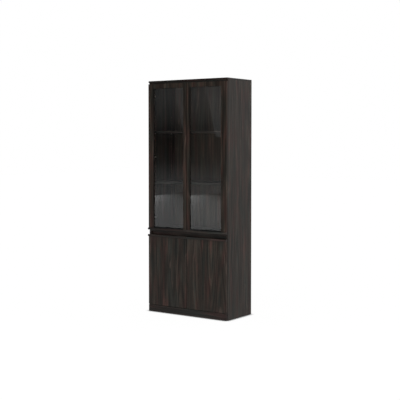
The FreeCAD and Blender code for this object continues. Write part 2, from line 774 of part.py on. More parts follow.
def glass_door():
    """Frame cut from one board, with pane, seal and beads."""
    blank = slab("frame_stock", ("door_free", "door_edge"), ("door_face", "door_back"),
                 ("frame_low", "glass_door_top"))
    opening = slab("frame_opening", ("view_free", "view_side"), ("door_face", "door_back"),
                   ("frame_low", "view_top"))
    rebate = slab("frame_rebate", ("view_free - rebate", "view_side + rebate"),
                  ("rebate_face", "door_back"), ("frame_low", "view_top + rebate"))
    tools = [opening, rebate] + cup_bores(("hinge_low", "hinge_mid", "hinge_high"))
    sawn = cut("frame_sawn", blank, tools)
    frame = rounded("right_glass_door_frame", sawn, size("door_round"), upright_door_corner)
    pair("glass_door_frame", frame)
    handle_strip("glass_door_handle_strip", "glass_door_low")

    reach = "rebate - glass_play"
    pane = slab("right_glass_pane", ("view_free - (%s)" % reach, "view_side + %s" % reach),
                ("glass_face", "glass_back"),
                ("frame_low + glass_play", "view_top + " + reach))
    pair("glass_pane", pane)
    glass_seal(reach)
    glazing_beads()
    rise = size("bumper_rise")
    bumpers("glass_door_bumpers", size("glass_door_low") + rise, size("glass_door_top") - rise)


def glass_seal(reach):
    """Rubber strips between the frame lip and the pane; the one on the sill is taller."""
    y = ("rebate_face", "glass_face")
    side_z = ("frame_low + sill_seal", "view_top - seal_show")
    whole_x = ("view_free - (%s)" % reach, "view_side + " + reach)
    strips = [
        slab("seal_sill", whole_x, y, ("frame_low", side_z[0])),
        slab("seal_top", whole_x, y, (side_z[1], "view_top + " + reach)),
        slab("seal_free", (whole_x[0], "view_free + seal_show"), y, side_z),
        slab("seal_hinge", ("view_side - seal_show", whole_x[1]), y, side_z),
    ]
    group = doc.addObject("Part::Compound", "right_glass_seal")
    group.Links = strips
    pair("glass_seal", group)


def glazing_beads():
    """Strips pinned behind the pane, all round."""
    low_x, high_x = "view_free - rebate + bead_play", "view_side + rebate - bead_play"
    y = ("glass_back", "glass_back + bead_thickness")
    sill, head = "frame_low", "view_top + rebate - bead_play"
    side_z = ("frame_low + rebate + bead_play", "view_top - bead_play")
    strips = [
        slab("bead_sill", (low_x, high_x), y, (sill, "frame_low + rebate")),
        slab("bead_top", (low_x, high_x), y, ("view_top", head)),
        slab("bead_free", (low_x, "view_free"), y, side_z),
        slab("bead_hinge", ("view_side", high_x), y, side_z),
    ]
    group = doc.addObject("Part::Compound", "right_glazing_beads")
    group.Links = strips
    pair("glazing_beads", group)


def panel_door():
    """Plain board door under its handle strip."""
    blank = slab("door_stock", ("door_free", "door_edge"), ("door_face", "door_back"),
                 ("panel_door_low", "panel_top"))
    bored = cut("door_bored", blank, cup_bores(("panel_hinge_low", "panel_hinge_high")))
    board = rounded("right_panel_door_board", bored, size("door_round"), upright_door_corner)
    pair("panel_door_board", board)
    handle_strip("panel_door_handle_strip", "panel_top")
    bumpers("panel_door_bumpers", size("panel_door_low") + size("bumper_rise") * 2)


# ---------------------------------------------------------------- build, check, export

def check_document():
    """Stop if any object failed or any finished piece isn't sound."""
    doc.recompute()
    for thing in doc.Objects:
        if "Invalid" in thing.State or "Error" in thing.State:
            raise RuntimeError("%s failed: %s" % (thing.Label, thing.State))
    for piece in nodes:
        if piece.Shape.isNull() or not piece.Shape.isValid() or piece.Shape.Volume <= 0:
            raise RuntimeError(piece.Label + " has no sound shape")


def write_pieces():
    """Write each finished piece to its own file."""
    os.makedirs("parts", exist_ok=True)
    for piece in nodes:
        piece.Shape.exportStep("parts/%s.step" % piece.Label)
        print("%-32s %2d solids  %10.1f mm3" % (piece.Label, len(piece.Shape.Solids),
                                               piece.Shape.Volume))


sheet = make_sheet()
places = make_places()
doc.recompute()

top_board()
side_panels()
fixed_panels()
rails_and_plinth()
back_sheets()
loose_shelves()
shelf_pins()
cam_locks()
dowels()
floor_glides()
glass_door()
panel_door()
hinges()

check_document()
write_pieces()
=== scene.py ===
import json
import math

import bmesh
import bpy
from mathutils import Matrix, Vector

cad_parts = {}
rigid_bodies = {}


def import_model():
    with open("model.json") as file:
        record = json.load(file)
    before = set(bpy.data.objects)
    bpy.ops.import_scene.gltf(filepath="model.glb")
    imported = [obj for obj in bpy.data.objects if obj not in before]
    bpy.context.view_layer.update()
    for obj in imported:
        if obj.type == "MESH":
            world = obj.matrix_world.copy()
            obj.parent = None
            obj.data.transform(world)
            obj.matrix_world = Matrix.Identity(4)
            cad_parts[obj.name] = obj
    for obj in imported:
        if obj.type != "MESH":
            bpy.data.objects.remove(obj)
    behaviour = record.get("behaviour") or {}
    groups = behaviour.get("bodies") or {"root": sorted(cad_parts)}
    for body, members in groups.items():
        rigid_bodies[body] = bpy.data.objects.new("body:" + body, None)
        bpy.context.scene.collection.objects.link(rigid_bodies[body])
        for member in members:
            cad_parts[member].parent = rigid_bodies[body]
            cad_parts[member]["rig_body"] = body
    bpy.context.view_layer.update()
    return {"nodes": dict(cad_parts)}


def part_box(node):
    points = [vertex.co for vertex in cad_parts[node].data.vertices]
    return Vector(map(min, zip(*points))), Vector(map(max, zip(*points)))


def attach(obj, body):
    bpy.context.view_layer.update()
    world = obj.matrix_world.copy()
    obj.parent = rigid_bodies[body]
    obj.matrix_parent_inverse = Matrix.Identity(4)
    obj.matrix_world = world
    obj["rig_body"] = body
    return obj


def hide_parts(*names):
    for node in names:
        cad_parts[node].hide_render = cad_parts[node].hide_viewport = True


# Looks of a tall wenge bookcase: two glass doors over two panel doors.
# Metres, in the frame of the CAD model: +X right, +Y back, +Z up, the doors face -Y.

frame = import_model()
MM = 0.001

CARCASS = "carcass"
SIDES = {"left": -1, "right": 1}


# ---------------------------------------------------------------- node helpers

def add(tree, kind, inputs=None, **settings):
    """Node of a kind, with its settings, and its inputs linked or filled."""
    node = tree.nodes.new(kind)
    for key, value in settings.items():
        setattr(node, key, value)
    for key, value in (inputs or {}).items():
        if isinstance(value, bpy.types.NodeSocket):
            tree.links.new(value, node.inputs[key])
        else:
            node.inputs[key].default_value = value
    return node


def math_node(tree, operation, first, second=0.0, third=0.0):
    """Result of one operation on numbers."""
    inputs = {0: first, 1: second, 2: third}
    return add(tree, "ShaderNodeMath", inputs, operation=operation).outputs[0]


def vector_node(tree, operation, first, second):
    """Result of one operation on vectors."""
    return add(tree, "ShaderNodeVectorMath", {0: first, 1: second}, operation=operation).outputs[0]


def noise(tree, place, stretch, detail, rough=0.5, colour=False, shift=(0, 0, 0)):
    """Noise stretched along the axes; stretch gives waves per metre."""
    spot = add(tree, "ShaderNodeMapping", {"Vector": place, "Scale": stretch, "Location": shift})
    node = add(tree, "ShaderNodeTexNoise", {"Vector": spot.outputs[0], "Scale": 1.0,
                                            "Detail": detail, "Roughness": rough})
    return node.outputs["Color" if colour else "Fac"]


def spread(tree, value, low, high, to_low=0.0, to_high=1.0):
    """Value stretched from one range to another and held inside it."""
    return add(tree, "ShaderNodeMapRange", {"Value": value, "From Min": low, "From Max": high,
                                            "To Min": to_low, "To Max": to_high}).outputs[0]


def ramp(tree, value, stops):
    """Colour ramp from (place, colour) stops."""
    node = add(tree, "ShaderNodeValToRGB", {"Fac": value})
    points = node.color_ramp.elements
    while len(points) < len(stops):
        points.new(1.0)
    for point, (at, colour) in zip(points, stops):
        point.position = at
        point.color = (*colour, 1.0)
    return node.outputs["Color"]


def blend(tree, share, first, second, how="MIX"):
    """Two colours mixed by a share."""
    node = add(tree, "ShaderNodeMix", {0: share}, data_type="RGBA", blend_type=how)
    for key, value in ((6, first), (7, second)):
        if isinstance(value, bpy.types.NodeSocket):
            tree.links.new(value, node.inputs[key])
        else:
            node.inputs[key].default_value = (*value, 1.0)
    return node.outputs[2]


def relief(tree, height, depth, strength):
    """Surface direction from a height between 0 and 1; depth in metres."""
    return add(tree, "ShaderNodeBump", {"Height": height, "Distance": depth,
                                        "Strength": strength}).outputs[0]


def material(name, **sockets):
    """New material with one main shader; its plain numbers are given by name."""
    made = bpy.data.materials.new(name)
    made.use_nodes = True
    tree = made.node_tree
    shader = tree.nodes["Principled BSDF"]
    for key, value in sockets.items():
        shader.inputs[key.replace("_", " ")].default_value = value
    return made, tree, shader


def own_place(tree):
    """Coordinates in metres, the same as in the CAD model."""
    return add(tree, "ShaderNodeTexCoord").outputs["Object"]


def three(tree, x=0.0, y=0.0, z=0.0):
    """Vector from three numbers."""
    return add(tree, "ShaderNodeCombineXYZ", {0: x, 1: y, 2: z}).outputs[0]


def dress(tree, shader, colour, rough, normal):
    """Link what changes over a surface: its colour, roughness and direction."""
    for key, value in (("Base Color", colour), ("Roughness", rough), ("Normal", normal)):
        tree.links.new(value, shader.inputs[key])


def surface(tree, shader):
    """Let a shader be the material's surface."""
    tree.links.new(shader.outputs[0], tree.nodes["Material Output"].inputs["Surface"])


# ---------------------------------------------------------------- wenge

def wenge_figure():
    """Group: colour, roughness and relief of wenge foil whose grain runs along Z, with the edge
    marks of its Edge input: worn arrises, painted shade and painted highlights.
    """
    tree = bpy.data.node_groups.new("wenge_figure", "ShaderNodeTree")
    sockets = (("Place", "INPUT", "Vector"), ("Tone", "INPUT", "Color"),
               ("Edge", "INPUT", "Float"), ("Sway", "INPUT", "Float"),
               ("Colour", "OUTPUT", "Color"), ("Roughness", "OUTPUT", "Float"),
               ("Relief", "OUTPUT", "Float"))
    for name, way, kind in sockets:
        tree.interface.new_socket(name, in_out=way, socket_type="NodeSocket" + kind)
    given = tree.nodes.new("NodeGroupInput").outputs
    result = tree.nodes.new("NodeGroupOutput").inputs

    sway = noise(tree, given["Place"], (9, 9, 3.5), 4, 0.65, colour=True)
    sway = vector_node(tree, "SUBTRACT", sway, (0.5, 0.5, 0.5))
    sway = vector_node(tree, "MULTIPLY", sway, three(tree, given["Sway"], given["Sway"]))
    place = vector_node(tree, "ADD", given["Place"], sway)
    bands = noise(tree, place, (30, 30, 1.3), 3, 0.55)
    lines = noise(tree, place, (120, 120, 2.2), 4, 0.62, shift=(3, 7, 1))
    fibres = noise(tree, place, (800, 800, 9), 2, shift=(1, 2, 5))
    hue = noise(tree, place, (19, 19, 3.0), 2, shift=(11, 4, 2))
    # Growth rings are the level lines of a long, slow field, so they close into arches.
    growth = noise(tree, place, (6.0, 6.0, 0.42), 1.0, 0.4, shift=(9, 2, 3))
    rings = math_node(tree, "SINE", math_node(tree, "MULTIPLY", growth, 95.0))
    tone = math_node(tree, "MULTIPLY", rings, 0.05)
    for value, share in ((bands, 0.50), (lines, 0.36), (fibres, 0.14)):
        tone = math_node(tree, "MULTIPLY_ADD", value, share, tone)
    # From the darkest lines to the palest bands, then reddish and greenish stretches.
    base = ramp(tree, spread(tree, tone, 0.355, 0.645), (
        (0.0, (0.0100, 0.0076, 0.0062)), (0.30, (0.0175, 0.0136, 0.0112)),
        (0.52, (0.0262, 0.0206, 0.0172)), (0.76, (0.0370, 0.0294, 0.0248)),
        (1.0, (0.0560, 0.0455, 0.0390))))
    red = spread(tree, hue, 0.52, 0.64)
    green = spread(tree, hue, 0.47, 0.37)
    base = blend(tree, red, base, blend(tree, 1.0, base, (1.42, 0.97, 1.01), "MULTIPLY"))
    base = blend(tree, green, base, blend(tree, 1.0, base, (0.75, 0.98, 1.04), "MULTIPLY"))
    vein = noise(tree, place, (13, 13, 0.8), 1.0, 0.5, shift=(2, 9, 6))
    vein = math_node(tree, "ABSOLUTE", math_node(tree, "SUBTRACT", vein, 0.5))
    vein = math_node(tree, "MULTIPLY", spread(tree, vein, 0.016, 0.004),
                     spread(tree, bands, 0.45, 0.60))
    base = blend(tree, math_node(tree, "MULTIPLY", vein, 0.6), base, (0.090, 0.066, 0.060))
    pores = spread(tree, noise(tree, place, (1500, 1500, 60), 1, shift=(5, 5, 5)), 0.66, 0.72)
    base = blend(tree, math_node(tree, "MULTIPLY", pores, 0.6), base, (0.004, 0.0033, 0.0028))
    base = blend(tree, 1.0, base, given["Tone"], "MULTIPLY")
    # Positive edge marks make the foil paler: wear on rubbed arrises, and a painted highlight on
    # the doors' outer edges.
    patches = spread(tree, noise(tree, given["Place"], (90, 90, 90), 3), 0.30, 0.70)
    wear_and_highlight = math_node(tree, "MULTIPLY", spread(tree, given["Edge"], 0.0, 1.0, 0.0, 0.7), patches)
    base = blend(tree, wear_and_highlight, base, (0.105, 0.085, 0.070))
    # Negative edge marks darken the foil to near black: painted shade in gaps, under the strips
    # and on set-back edges.
    painted_shade = spread(tree, given["Edge"], 0.0, -1.0, 0.0, 0.8)
    base = blend(tree, painted_shade, base, (0.006, 0.005, 0.0045))
    tree.links.new(base, result["Colour"])
    rough = spread(tree, lines, 0.3, 0.7, 0.46, 0.36)
    tree.links.new(math_node(tree, "MULTIPLY_ADD", pores, 0.2, rough), result["Roughness"])
    height = math_node(tree, "MULTIPLY_ADD", fibres, 0.5, 0.5)
    tree.links.new(math_node(tree, "SUBTRACT", height, math_node(tree, "MULTIPLY", pores, 0.5)),
                   result["Relief"])
    return tree


def chipboard():
    """Group: colour of raw chipboard, pale chips of a few millimetres among darker ones."""
    tree = bpy.data.node_groups.new("chipboard", "ShaderNodeTree")
    tree.interface.new_socket("Place", in_out="INPUT", socket_type="NodeSocketVector")
    tree.interface.new_socket("Colour", in_out="OUTPUT", socket_type="NodeSocketColor")
    place = tree.nodes.new("NodeGroupInput").outputs["Place"]
    bend = noise(tree, place, (400, 400, 400), 2, colour=True)
    bend = vector_node(tree, "MULTIPLY", bend, (0.003, 0.003, 0.003))
    bent = vector_node(tree, "ADD", place, bend)
    chips = add(tree, "ShaderNodeTexVoronoi", {"Vector": bent, "Scale": 420.0})
    tint = ramp(tree, add(tree, "ShaderNodeSeparateXYZ", {0: chips.outputs["Color"]}).outputs[0], (
        (0.0, (0.17, 0.11, 0.065)), (0.25, (0.30, 0.205, 0.125)), (0.6, (0.40, 0.285, 0.18)),
        (1.0, (0.52, 0.39, 0.26))))
    dust = noise(tree, place, (60, 60, 60), 4, 0.6)
    colour = blend(tree, spread(tree, dust, 0.3, 0.7, 0.1, 0.5), tint, (0.33, 0.235, 0.15))
    tree.links.new(colour, tree.nodes.new("NodeGroupOutput").inputs["Colour"])
    return tree


FIGURE = wenge_figure()
CHIPBOARD = chipboard()
GRAIN_TURN = {"up": (0, 0, 0), "level": (0, math.radians(-90), 0)}
# How far the grain wanders sideways, in metres.
SWAY = {"up": 0.012, "level": 0.004}
SATIN = 0.2
RAW_EDGE_ROUGH = 0.85


def wenge(name, grain, shift, tone):
    """Satin wenge foil of one board. shift picks the leaf, and tone how dark that leaf is; on the
    recess boards and the plinth that darker tone is painted shade.
    """
    made, tree, shader = material(name, Specular_IOR_Level=SATIN)
    place = add(tree, "ShaderNodeMapping", {"Vector": own_place(tree), "Location": shift,
                                            "Rotation": GRAIN_TURN[grain]}).outputs[0]
    edge, bare = (add(tree, "ShaderNodeAttribute", attribute_name=mark).outputs["Fac"]
                  for mark in ("edge_wear_and_painted_light", "bare"))
    figure = add(tree, "ShaderNodeGroup", {"Place": place, "Edge": edge, "Tone": (*tone, 1),
                                           "Sway": SWAY[grain]}, node_tree=FIGURE).outputs
    chips = add(tree, "ShaderNodeGroup", {"Place": place}, node_tree=CHIPBOARD).outputs
    rough = math_node(tree, "MAXIMUM", figure["Roughness"],
                      math_node(tree, "MULTIPLY", bare, RAW_EDGE_ROUGH))
    dress(tree, shader, blend(tree, bare, figure["Colour"], chips["Colour"]), rough,
          relief(tree, figure["Relief"], 0.12 * MM, 0.5))
    return made


# ---------------------------------------------------------------- other finishes

def nickel_steel():
    """Nickel-plated pressed steel with faint rolling marks."""
    made, tree, shader = material("nickel_steel", Metallic=1.0)
    place = own_place(tree)
    cloud = noise(tree, place, (60, 60, 60), 3)
    marks = noise(tree, place, (900, 140, 900), 2)
    dress(tree, shader, ramp(tree, cloud, ((0.3, (0.50, 0.49, 0.47)), (0.7, (0.66, 0.65, 0.62)))),
          spread(tree, marks, 0.3, 0.7, 0.22, 0.38), relief(tree, marks, 0.01 * MM, 0.15))
    return made


def cast_zinc():
    """Bare die-cast zinc, dull and slightly mottled."""
    made, tree, shader = material("cast_zinc", Metallic=1.0)
    place = own_place(tree)
    cloud = noise(tree, place, (180, 180, 180), 4, 0.6)
    grit = noise(tree, place, (900, 900, 900), 2)
    dress(tree, shader, ramp(tree, cloud, ((0.3, (0.36, 0.37, 0.38)), (0.7, (0.52, 0.53, 0.54)))),
          spread(tree, cloud, 0.3, 0.7, 0.55, 0.42), relief(tree, grit, 0.05 * MM, 0.5))
    return made


def pane_glass():
    """Clear float glass. It mirrors more at a low angle and bends nothing, being thin."""
    made, tree, shader = material("pane_glass")
    tree.nodes.remove(shader)
    slant = add(tree, "ShaderNodeLayerWeight", {"Blend": 0.5}).outputs["Facing"]
    steep = math_node(tree, "POWER", slant, 5.0)
    mirrored = math_node(tree, "MULTIPLY_ADD", steep, 0.96, 0.04)
    haze = spread(tree, noise(tree, own_place(tree), (3, 3, 2.2), 3), 0.45, 0.75, 0.0, 0.012)
    clear = add(tree, "ShaderNodeBsdfTransparent", {"Color": (0.960, 0.968, 0.960, 1)})
    gloss = add(tree, "ShaderNodeBsdfGlossy", {"Color": (1, 1, 1, 1), "Roughness": haze})
    mix = add(tree, "ShaderNodeMixShader", {0: mirrored, 1: clear.outputs[0],
                                            2: gloss.outputs[0]})
    surface(tree, mix)
    return made


def seal_rubber():
    """Black extruded rubber, dull, with a little bloom."""
    made, tree, shader = material("seal_rubber", Specular_IOR_Level=0.25)
    place = own_place(tree)
    bloom = noise(tree, place, (40, 40, 12), 4, 0.6)
    grit = noise(tree, place, (1500, 1500, 1500), 2)
    black = ramp(tree, bloom, ((0.35, (0.0040, 0.0040, 0.0042)),
                               (0.75, (0.0100, 0.0100, 0.0104))))
    dress(tree, shader, black, spread(tree, bloom, 0.3, 0.7, 0.55, 0.75),
          relief(tree, grit, 0.03 * MM, 0.5))
    return made


def plastic(name, dark, light, rough, **sockets):
    """Moulded plastic with a fine spark-eroded texture."""
    made, tree, shader = material(name, **sockets)
    place = own_place(tree)
    flow = noise(tree, place, (50, 50, 50), 3)
    grit = noise(tree, place, (2400, 2400, 2400), 2)
    dress(tree, shader, ramp(tree, flow, ((0.35, dark), (0.65, light))),
          spread(tree, grit, 0.3, 0.7, rough - 0.06, rough + 0.06),
          relief(tree, grit, 0.03 * MM, 0.5))
    return made


def beech():
    """Pale beech with short rays, for the dowels."""
    made, tree, shader = material("beech", Specular_IOR_Level=0.3)
    place = own_place(tree)
    rings = noise(tree, place, (30, 400, 400), 3)
    rays = spread(tree, noise(tree, place, (350, 2200, 2200), 1), 0.60, 0.68)
    wood = ramp(tree, rings, ((0.3, (0.52, 0.33, 0.19)), (0.7, (0.66, 0.46, 0.29))))
    dress(tree, shader, blend(tree, rays, wood, (0.38, 0.21, 0.11)),
          spread(tree, rings, 0.3, 0.7, 0.6, 0.7), relief(tree, rays, 0.05 * MM, 0.6))
    return made


def foiled_hardboard():
    """Thin back sheet: wenge foil in front, made paler as painted light inside the cabinet, and
    bare brown hardboard with its screen mark behind.
    """
    made, tree, shader = material("foiled_hardboard", Specular_IOR_Level=SATIN)
    place = own_place(tree)
    # The foil's figure is lifted and mixed toward a paler brown: painted light on the back inside
    # the cabinet.
    figure = add(tree, "ShaderNodeGroup", {"Place": place, "Tone": (1.9, 1.8, 1.7, 1),
                                           "Sway": SWAY["up"]}, node_tree=FIGURE).outputs
    lightened_print = blend(tree, 0.45, figure["Colour"], (0.0440, 0.0340, 0.0280))
    fluff = noise(tree, place, (260, 260, 260), 4, 0.65)
    flecks = spread(tree, noise(tree, place, (420, 420, 170), 3, 0.7, shift=(2, 3, 4)), 0.6, 0.7)
    bare = ramp(tree, fluff, ((0.30, (0.105, 0.058, 0.030)), (0.55, (0.165, 0.098, 0.054)),
                              (0.80, (0.225, 0.145, 0.086))))
    bare = blend(tree, math_node(tree, "MULTIPLY", flecks, 0.6), bare, (0.075, 0.038, 0.020))
    across, along = (add(tree, "ShaderNodeTexWave", {
        "Vector": place, "Scale": 100.0, "Distortion": 0.6}, bands_direction=way).outputs["Fac"]
        for way in "XZ")
    screen = math_node(tree, "MAXIMUM", across, along)
    facing = add(tree, "ShaderNodeSeparateXYZ",
                 {0: add(tree, "ShaderNodeTexCoord").outputs["Normal"]}).outputs["Y"]
    front = math_node(tree, "LESS_THAN", facing, -0.5)
    height = add(tree, "ShaderNodeMix", {0: front, 2: screen, 3: figure["Relief"]}).outputs[0]
    dress(tree, shader, blend(tree, front, bare, lightened_print), spread(tree, front, 0, 1, 0.85, 0.45),
          relief(tree, height, 0.15 * MM, 0.4))
    return made


# ---------------------------------------------------------------- pieces

PLAIN_TONE = (1.0, 1.0, 1.0)
FRAME_TONE = (0.96, 0.84, 0.72)
DOOR_TONE = (0.90, 0.83, 0.75)
SIDE_TONE = (0.97, 0.90, 0.80)
# Darker tone as painted shade in the finger recess between the upper and lower doors.
RECESS_SHADE_TONE = (0.66, 0.62, 0.58)
COVER_TONE = (0.6, 0.56, 0.54)
# Darker tone as painted shade on the plinth front.
PLINTH_SHADE_TONE = (0.64, 0.61, 0.59)
# Node: which way the grain runs, where in the foil the leaf is cut, and its tone.
WENGE_BOARDS = {
    "top_board": ("level", (0.0, 0.3, 1.1), COVER_TONE),
    "top_panel": ("level", (0.4, 1.3, 2.1), PLAIN_TONE),
    "middle_panel": ("level", (1.7, 0.2, 0.6), RECESS_SHADE_TONE),
    "bottom_panel": ("level", (2.3, 0.9, 1.9), PLAIN_TONE),
    "recess_rail": ("level", (3.1, 0.1, 0.3), RECESS_SHADE_TONE),
    "plinth_front": ("level", (0.9, 2.0, 0.8), PLINTH_SHADE_TONE),
    "plinth_back": ("level", (1.1, 2.4, 3.8), PLAIN_TONE),
    "shelf_upper": ("level", (0.2, 3.0, 1.4), PLAIN_TONE),
    "shelf_middle": ("level", (0.6, 3.5, 2.4), PLAIN_TONE),
    "shelf_lower": ("level", (2.6, 3.1, 0.4), PLAIN_TONE),
    "side_panel_left": ("up", (4.0, 1.0, 0.7), PLAIN_TONE),
    "side_panel_right": ("up", (8.6, 8.53, 0.51), SIDE_TONE),
    "left_glass_door_frame": ("up", (2.34, 2.95, 2.41), FRAME_TONE),
    "right_glass_door_frame": ("up", (0.25, 2.16, 0.85), FRAME_TONE),
    "left_panel_door_board": ("up", (1.39, 0.6, 3.61), DOOR_TONE),
    "right_panel_door_board": ("up", (5.95, 0.99, 0.24), DOOR_TONE),
    "left_glass_door_handle_strip": ("level", (1.5, 5.0, 0.5), PLAIN_TONE),
    "right_glass_door_handle_strip": ("level", (2.5, 5.4, 1.5), PLAIN_TONE),
    "left_panel_door_handle_strip": ("level", (3.5, 5.8, 2.5), PLAIN_TONE),
    "right_panel_door_handle_strip": ("level", (4.5, 6.2, 3.5), PLAIN_TONE),
    "left_glazing_beads": ("up", (5.5, 6.6, 0.1), FRAME_TONE),
    "right_glazing_beads": ("up", (6.5, 7.0, 1.2), FRAME_TONE),
}
# Points of a CAD mesh that lie this close are one, and faces that turn by less are flat.
JOIN, FLAT_TURN = 0.005 * MM, math.radians(0.5)
BODY_OF = {name: thing["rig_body"] for name, thing in frame["nodes"].items()}


def new_piece(name, mesh):
    """Object at the origin that shows a mesh."""
    piece = bpy.data.objects.new(name, mesh)
    bpy.context.scene.collection.objects.link(piece)
    return piece


def finished(piece):
    """The piece with its modifiers made part of its mesh."""
    ready = piece.evaluated_get(bpy.context.evaluated_depsgraph_get())
    mesh = bpy.data.meshes.new_from_object(ready)
    piece.modifiers.clear()
    piece.data = mesh
    return piece


def merged_copy(node):
    """Mesh of a CAD node with its points joined and its flat faces whole."""
    work = bmesh.new()
    work.from_mesh(frame["nodes"][node].data)
    bmesh.ops.remove_doubles(work, verts=work.verts, dist=JOIN)
    bmesh.ops.dissolve_limit(work, angle_limit=FLAT_TURN, verts=work.verts, edges=work.edges)
    bmesh.ops.recalc_face_normals(work, faces=work.faces)
    mesh = bpy.data.meshes.new(node + "_mesh")
    work.to_mesh(mesh)
    work.free()
    return mesh


def softened(node, ending, finish, arris, turn=30, made_by=None):
    """Piece for a CAD node with its arrises eased; the eased faces are marked for their wear, a
    mark that some boards later turn into painted shade or a painted highlight.
    """
    piece = new_piece(node + ending, merged_copy(node))
    piece.data.materials.append(finish)
    piece.data.materials.append(finish)
    ease = piece.modifiers.new("ease", "BEVEL")
    ease.width = arris
    ease.segments = 2
    ease.limit_method = "ANGLE"
    ease.angle_limit = math.radians(turn)
    ease.material = 1
    weigh = piece.modifiers.new("weigh", "WEIGHTED_NORMAL")
    weigh.keep_sharp = True
    for face in piece.data.polygons:
        face.use_smooth = True
    piece.data.set_sharp_from_angle(angle=math.radians(50))
    finished(piece)
    wear = piece.data.attributes.new("edge_wear_and_painted_light", "FLOAT", "FACE")
    for face in piece.data.polygons:
        wear.data[face.index].value = float(face.material_index == 1)
        face.material_index = 0
    piece.data.materials.pop(index=1)
    if made_by:
        made_by(piece, finish)
    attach(piece, BODY_OF[node])
    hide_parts(node)


def mark_bare(piece, ways):
    """Mark the faces that no foil covers: bores, grooves and the outer faces that ways name."""
    mesh = piece.data
    low, high = ([pick(point.co[axis] for point in mesh.vertices) for axis in range(3)]
                 for pick in (min, max))
    bare = mesh.attributes.new("bare", "FLOAT", "FACE")
    wear_and_highlight = mesh.attributes["edge_wear_and_painted_light"]
    for face in mesh.polygons:
        axis = max(range(3), key=lambda a: abs(face.normal[a]))
        outward = face.normal[axis] > 0
        hull = high[axis] if outward else low[axis]
        inside = abs(face.center[axis] - hull) > 1.0 * MM
        open_face = "-+"[outward] + "xyz"[axis] in ways and not wear_and_highlight.data[face.index].value
        bare.data[face.index].value = float(inside or open_face)
        if inside:
            wear_and_highlight.data[face.index].value = 0.0


# ---------------------------------------------------------------- what repeats

def grow(tree, kind, inputs, **settings):
    """First result of a geometry node."""
    return add(tree, "GeometryNode" + kind, inputs, **settings).outputs[0]


def grower(name, made_on, **sizes):
    """Geometry tree with named sizes: the tree, its inputs and a way to end it."""
    tree = bpy.data.node_groups.new(name, "GeometryNodeTree")
    tree.interface.new_socket(made_on, in_out="INPUT", socket_type="NodeSocketGeometry")
    for label, value in sizes.items():
        kind = "NodeSocketInt" if isinstance(value, int) else "NodeSocketFloat"
        tree.interface.new_socket(label, in_out="INPUT", socket_type=kind).default_value = value
    tree.interface.new_socket("Finish", in_out="INPUT", socket_type="NodeSocketMaterial")
    tree.interface.new_socket("Pieces", in_out="OUTPUT", socket_type="NodeSocketGeometry")
    given = tree.nodes.new("NodeGroupInput").outputs

    def end(pieces):
        real = grow(tree, "RealizeInstances", {0: pieces})
        done = grow(tree, "SetMaterial", {0: real, "Material": given["Finish"]})
        tree.links.new(done, tree.nodes.new("NodeGroupOutput").inputs[0])
        return tree
    return tree, given, end


def own_number(tree, name, kind):
    """Attribute that the spots carry."""
    return grow(tree, "InputNamedAttribute", {"Name": name}, data_type=kind)


def button(tree, given, around, up):
    """Low round dome with the sizes Radius and Rise."""
    ball = grow(tree, "MeshUVSphere", {"Segments": around, "Rings": up, "Radius": 1.0})
    dome = grow(tree, "Transform", {
        "Geometry": ball, "Scale": three(tree, given["Radius"], given["Radius"], given["Rise"])})
    return grow(tree, "SetShadeSmooth", {0: dome})


def on_spots(tree, spots, shape):
    """Copies of a shape on the spots, each facing its own way and turned by its own spin."""
    spin = add(tree, "FunctionNodeAxisAngleToRotation", {
        "Axis": (0, 0, 1), "Angle": own_number(tree, "spin", "FLOAT")})
    way = own_number(tree, "facing", "FLOAT_VECTOR")
    facing = add(tree, "FunctionNodeAlignRotationToVector", {
        "Rotation": spin.outputs[0], "Vector": way}, axis="Z")
    return grow(tree, "InstanceOnPoints", {"Points": spots, "Instance": shape,
                                           "Rotation": facing.outputs[0]})


def carve(tree, shape, cutters):
    """The shape with the cutters taken out of it."""
    cut = add(tree, "GeometryNodeMeshBoolean", {"Mesh 1": shape}, operation="DIFFERENCE",
              solver="EXACT")
    for cutter in cutters:
        tree.links.new(cutter, cut.inputs["Mesh 2"])
    return cut.outputs["Mesh"]


def cross_screws():
    """Tree: a round screw head with a cross recess on every spot."""
    tree, given, end = grower("cross_screws", "Spots", Radius=3.3 * MM, Rise=1.0 * MM,
                              Slot=0.8 * MM, Sunk=0.75 * MM)
    head = button(tree, given, 20, 8)
    reach = math_node(tree, "MULTIPLY", given["Radius"], 1.15)
    depth = math_node(tree, "MULTIPLY", given["Sunk"], 2.0)
    bars = []
    for x, y in ((reach, given["Slot"]), (given["Slot"], reach)):
        bar = grow(tree, "MeshCube", {"Size": three(tree, x, y, depth)})
        bars.append(grow(tree, "Transform", {"Geometry": bar,
                                             "Translation": three(tree, z=given["Rise"])}))
    return end(on_spots(tree, given["Spots"], carve(tree, head, bars)))


def domes():
    """Tree: a plain round dome on every spot."""
    tree, given, end = grower("domes", "Spots", Radius=3.0 * MM, Rise=1.2 * MM)
    return end(on_spots(tree, given["Spots"], button(tree, given, 16, 8)))


def brads():
    """Tree: small brad heads along a run, evenly spaced, facing back."""
    tree, given, end = grower("brads", "Run", Radius=0.7 * MM, Rise=0.25 * MM, Spacing=0.16)
    line = grow(tree, "MeshToCurve", {"Mesh": given["Run"]})
    even = grow(tree, "ResampleCurve", {"Curve": line, "Length": given["Spacing"]},
                mode="LENGTH")
    return end(grow(tree, "InstanceOnPoints", {
        "Points": even, "Instance": button(tree, given, 8, 4),
        "Rotation": (math.radians(-90), 0, 0)}))


def strip_outline(tree, given, wide, high):
    """Outline of a rubber strip, with its edges rounded by the size Edge."""
    outline = grow(tree, "CurvePrimitiveQuadrilateral", {"Width": wide, "Height": high})
    return grow(tree, "FilletCurve", {"Curve": outline, "Count": 3, "Radius": given["Edge"]},
                mode="POLY")


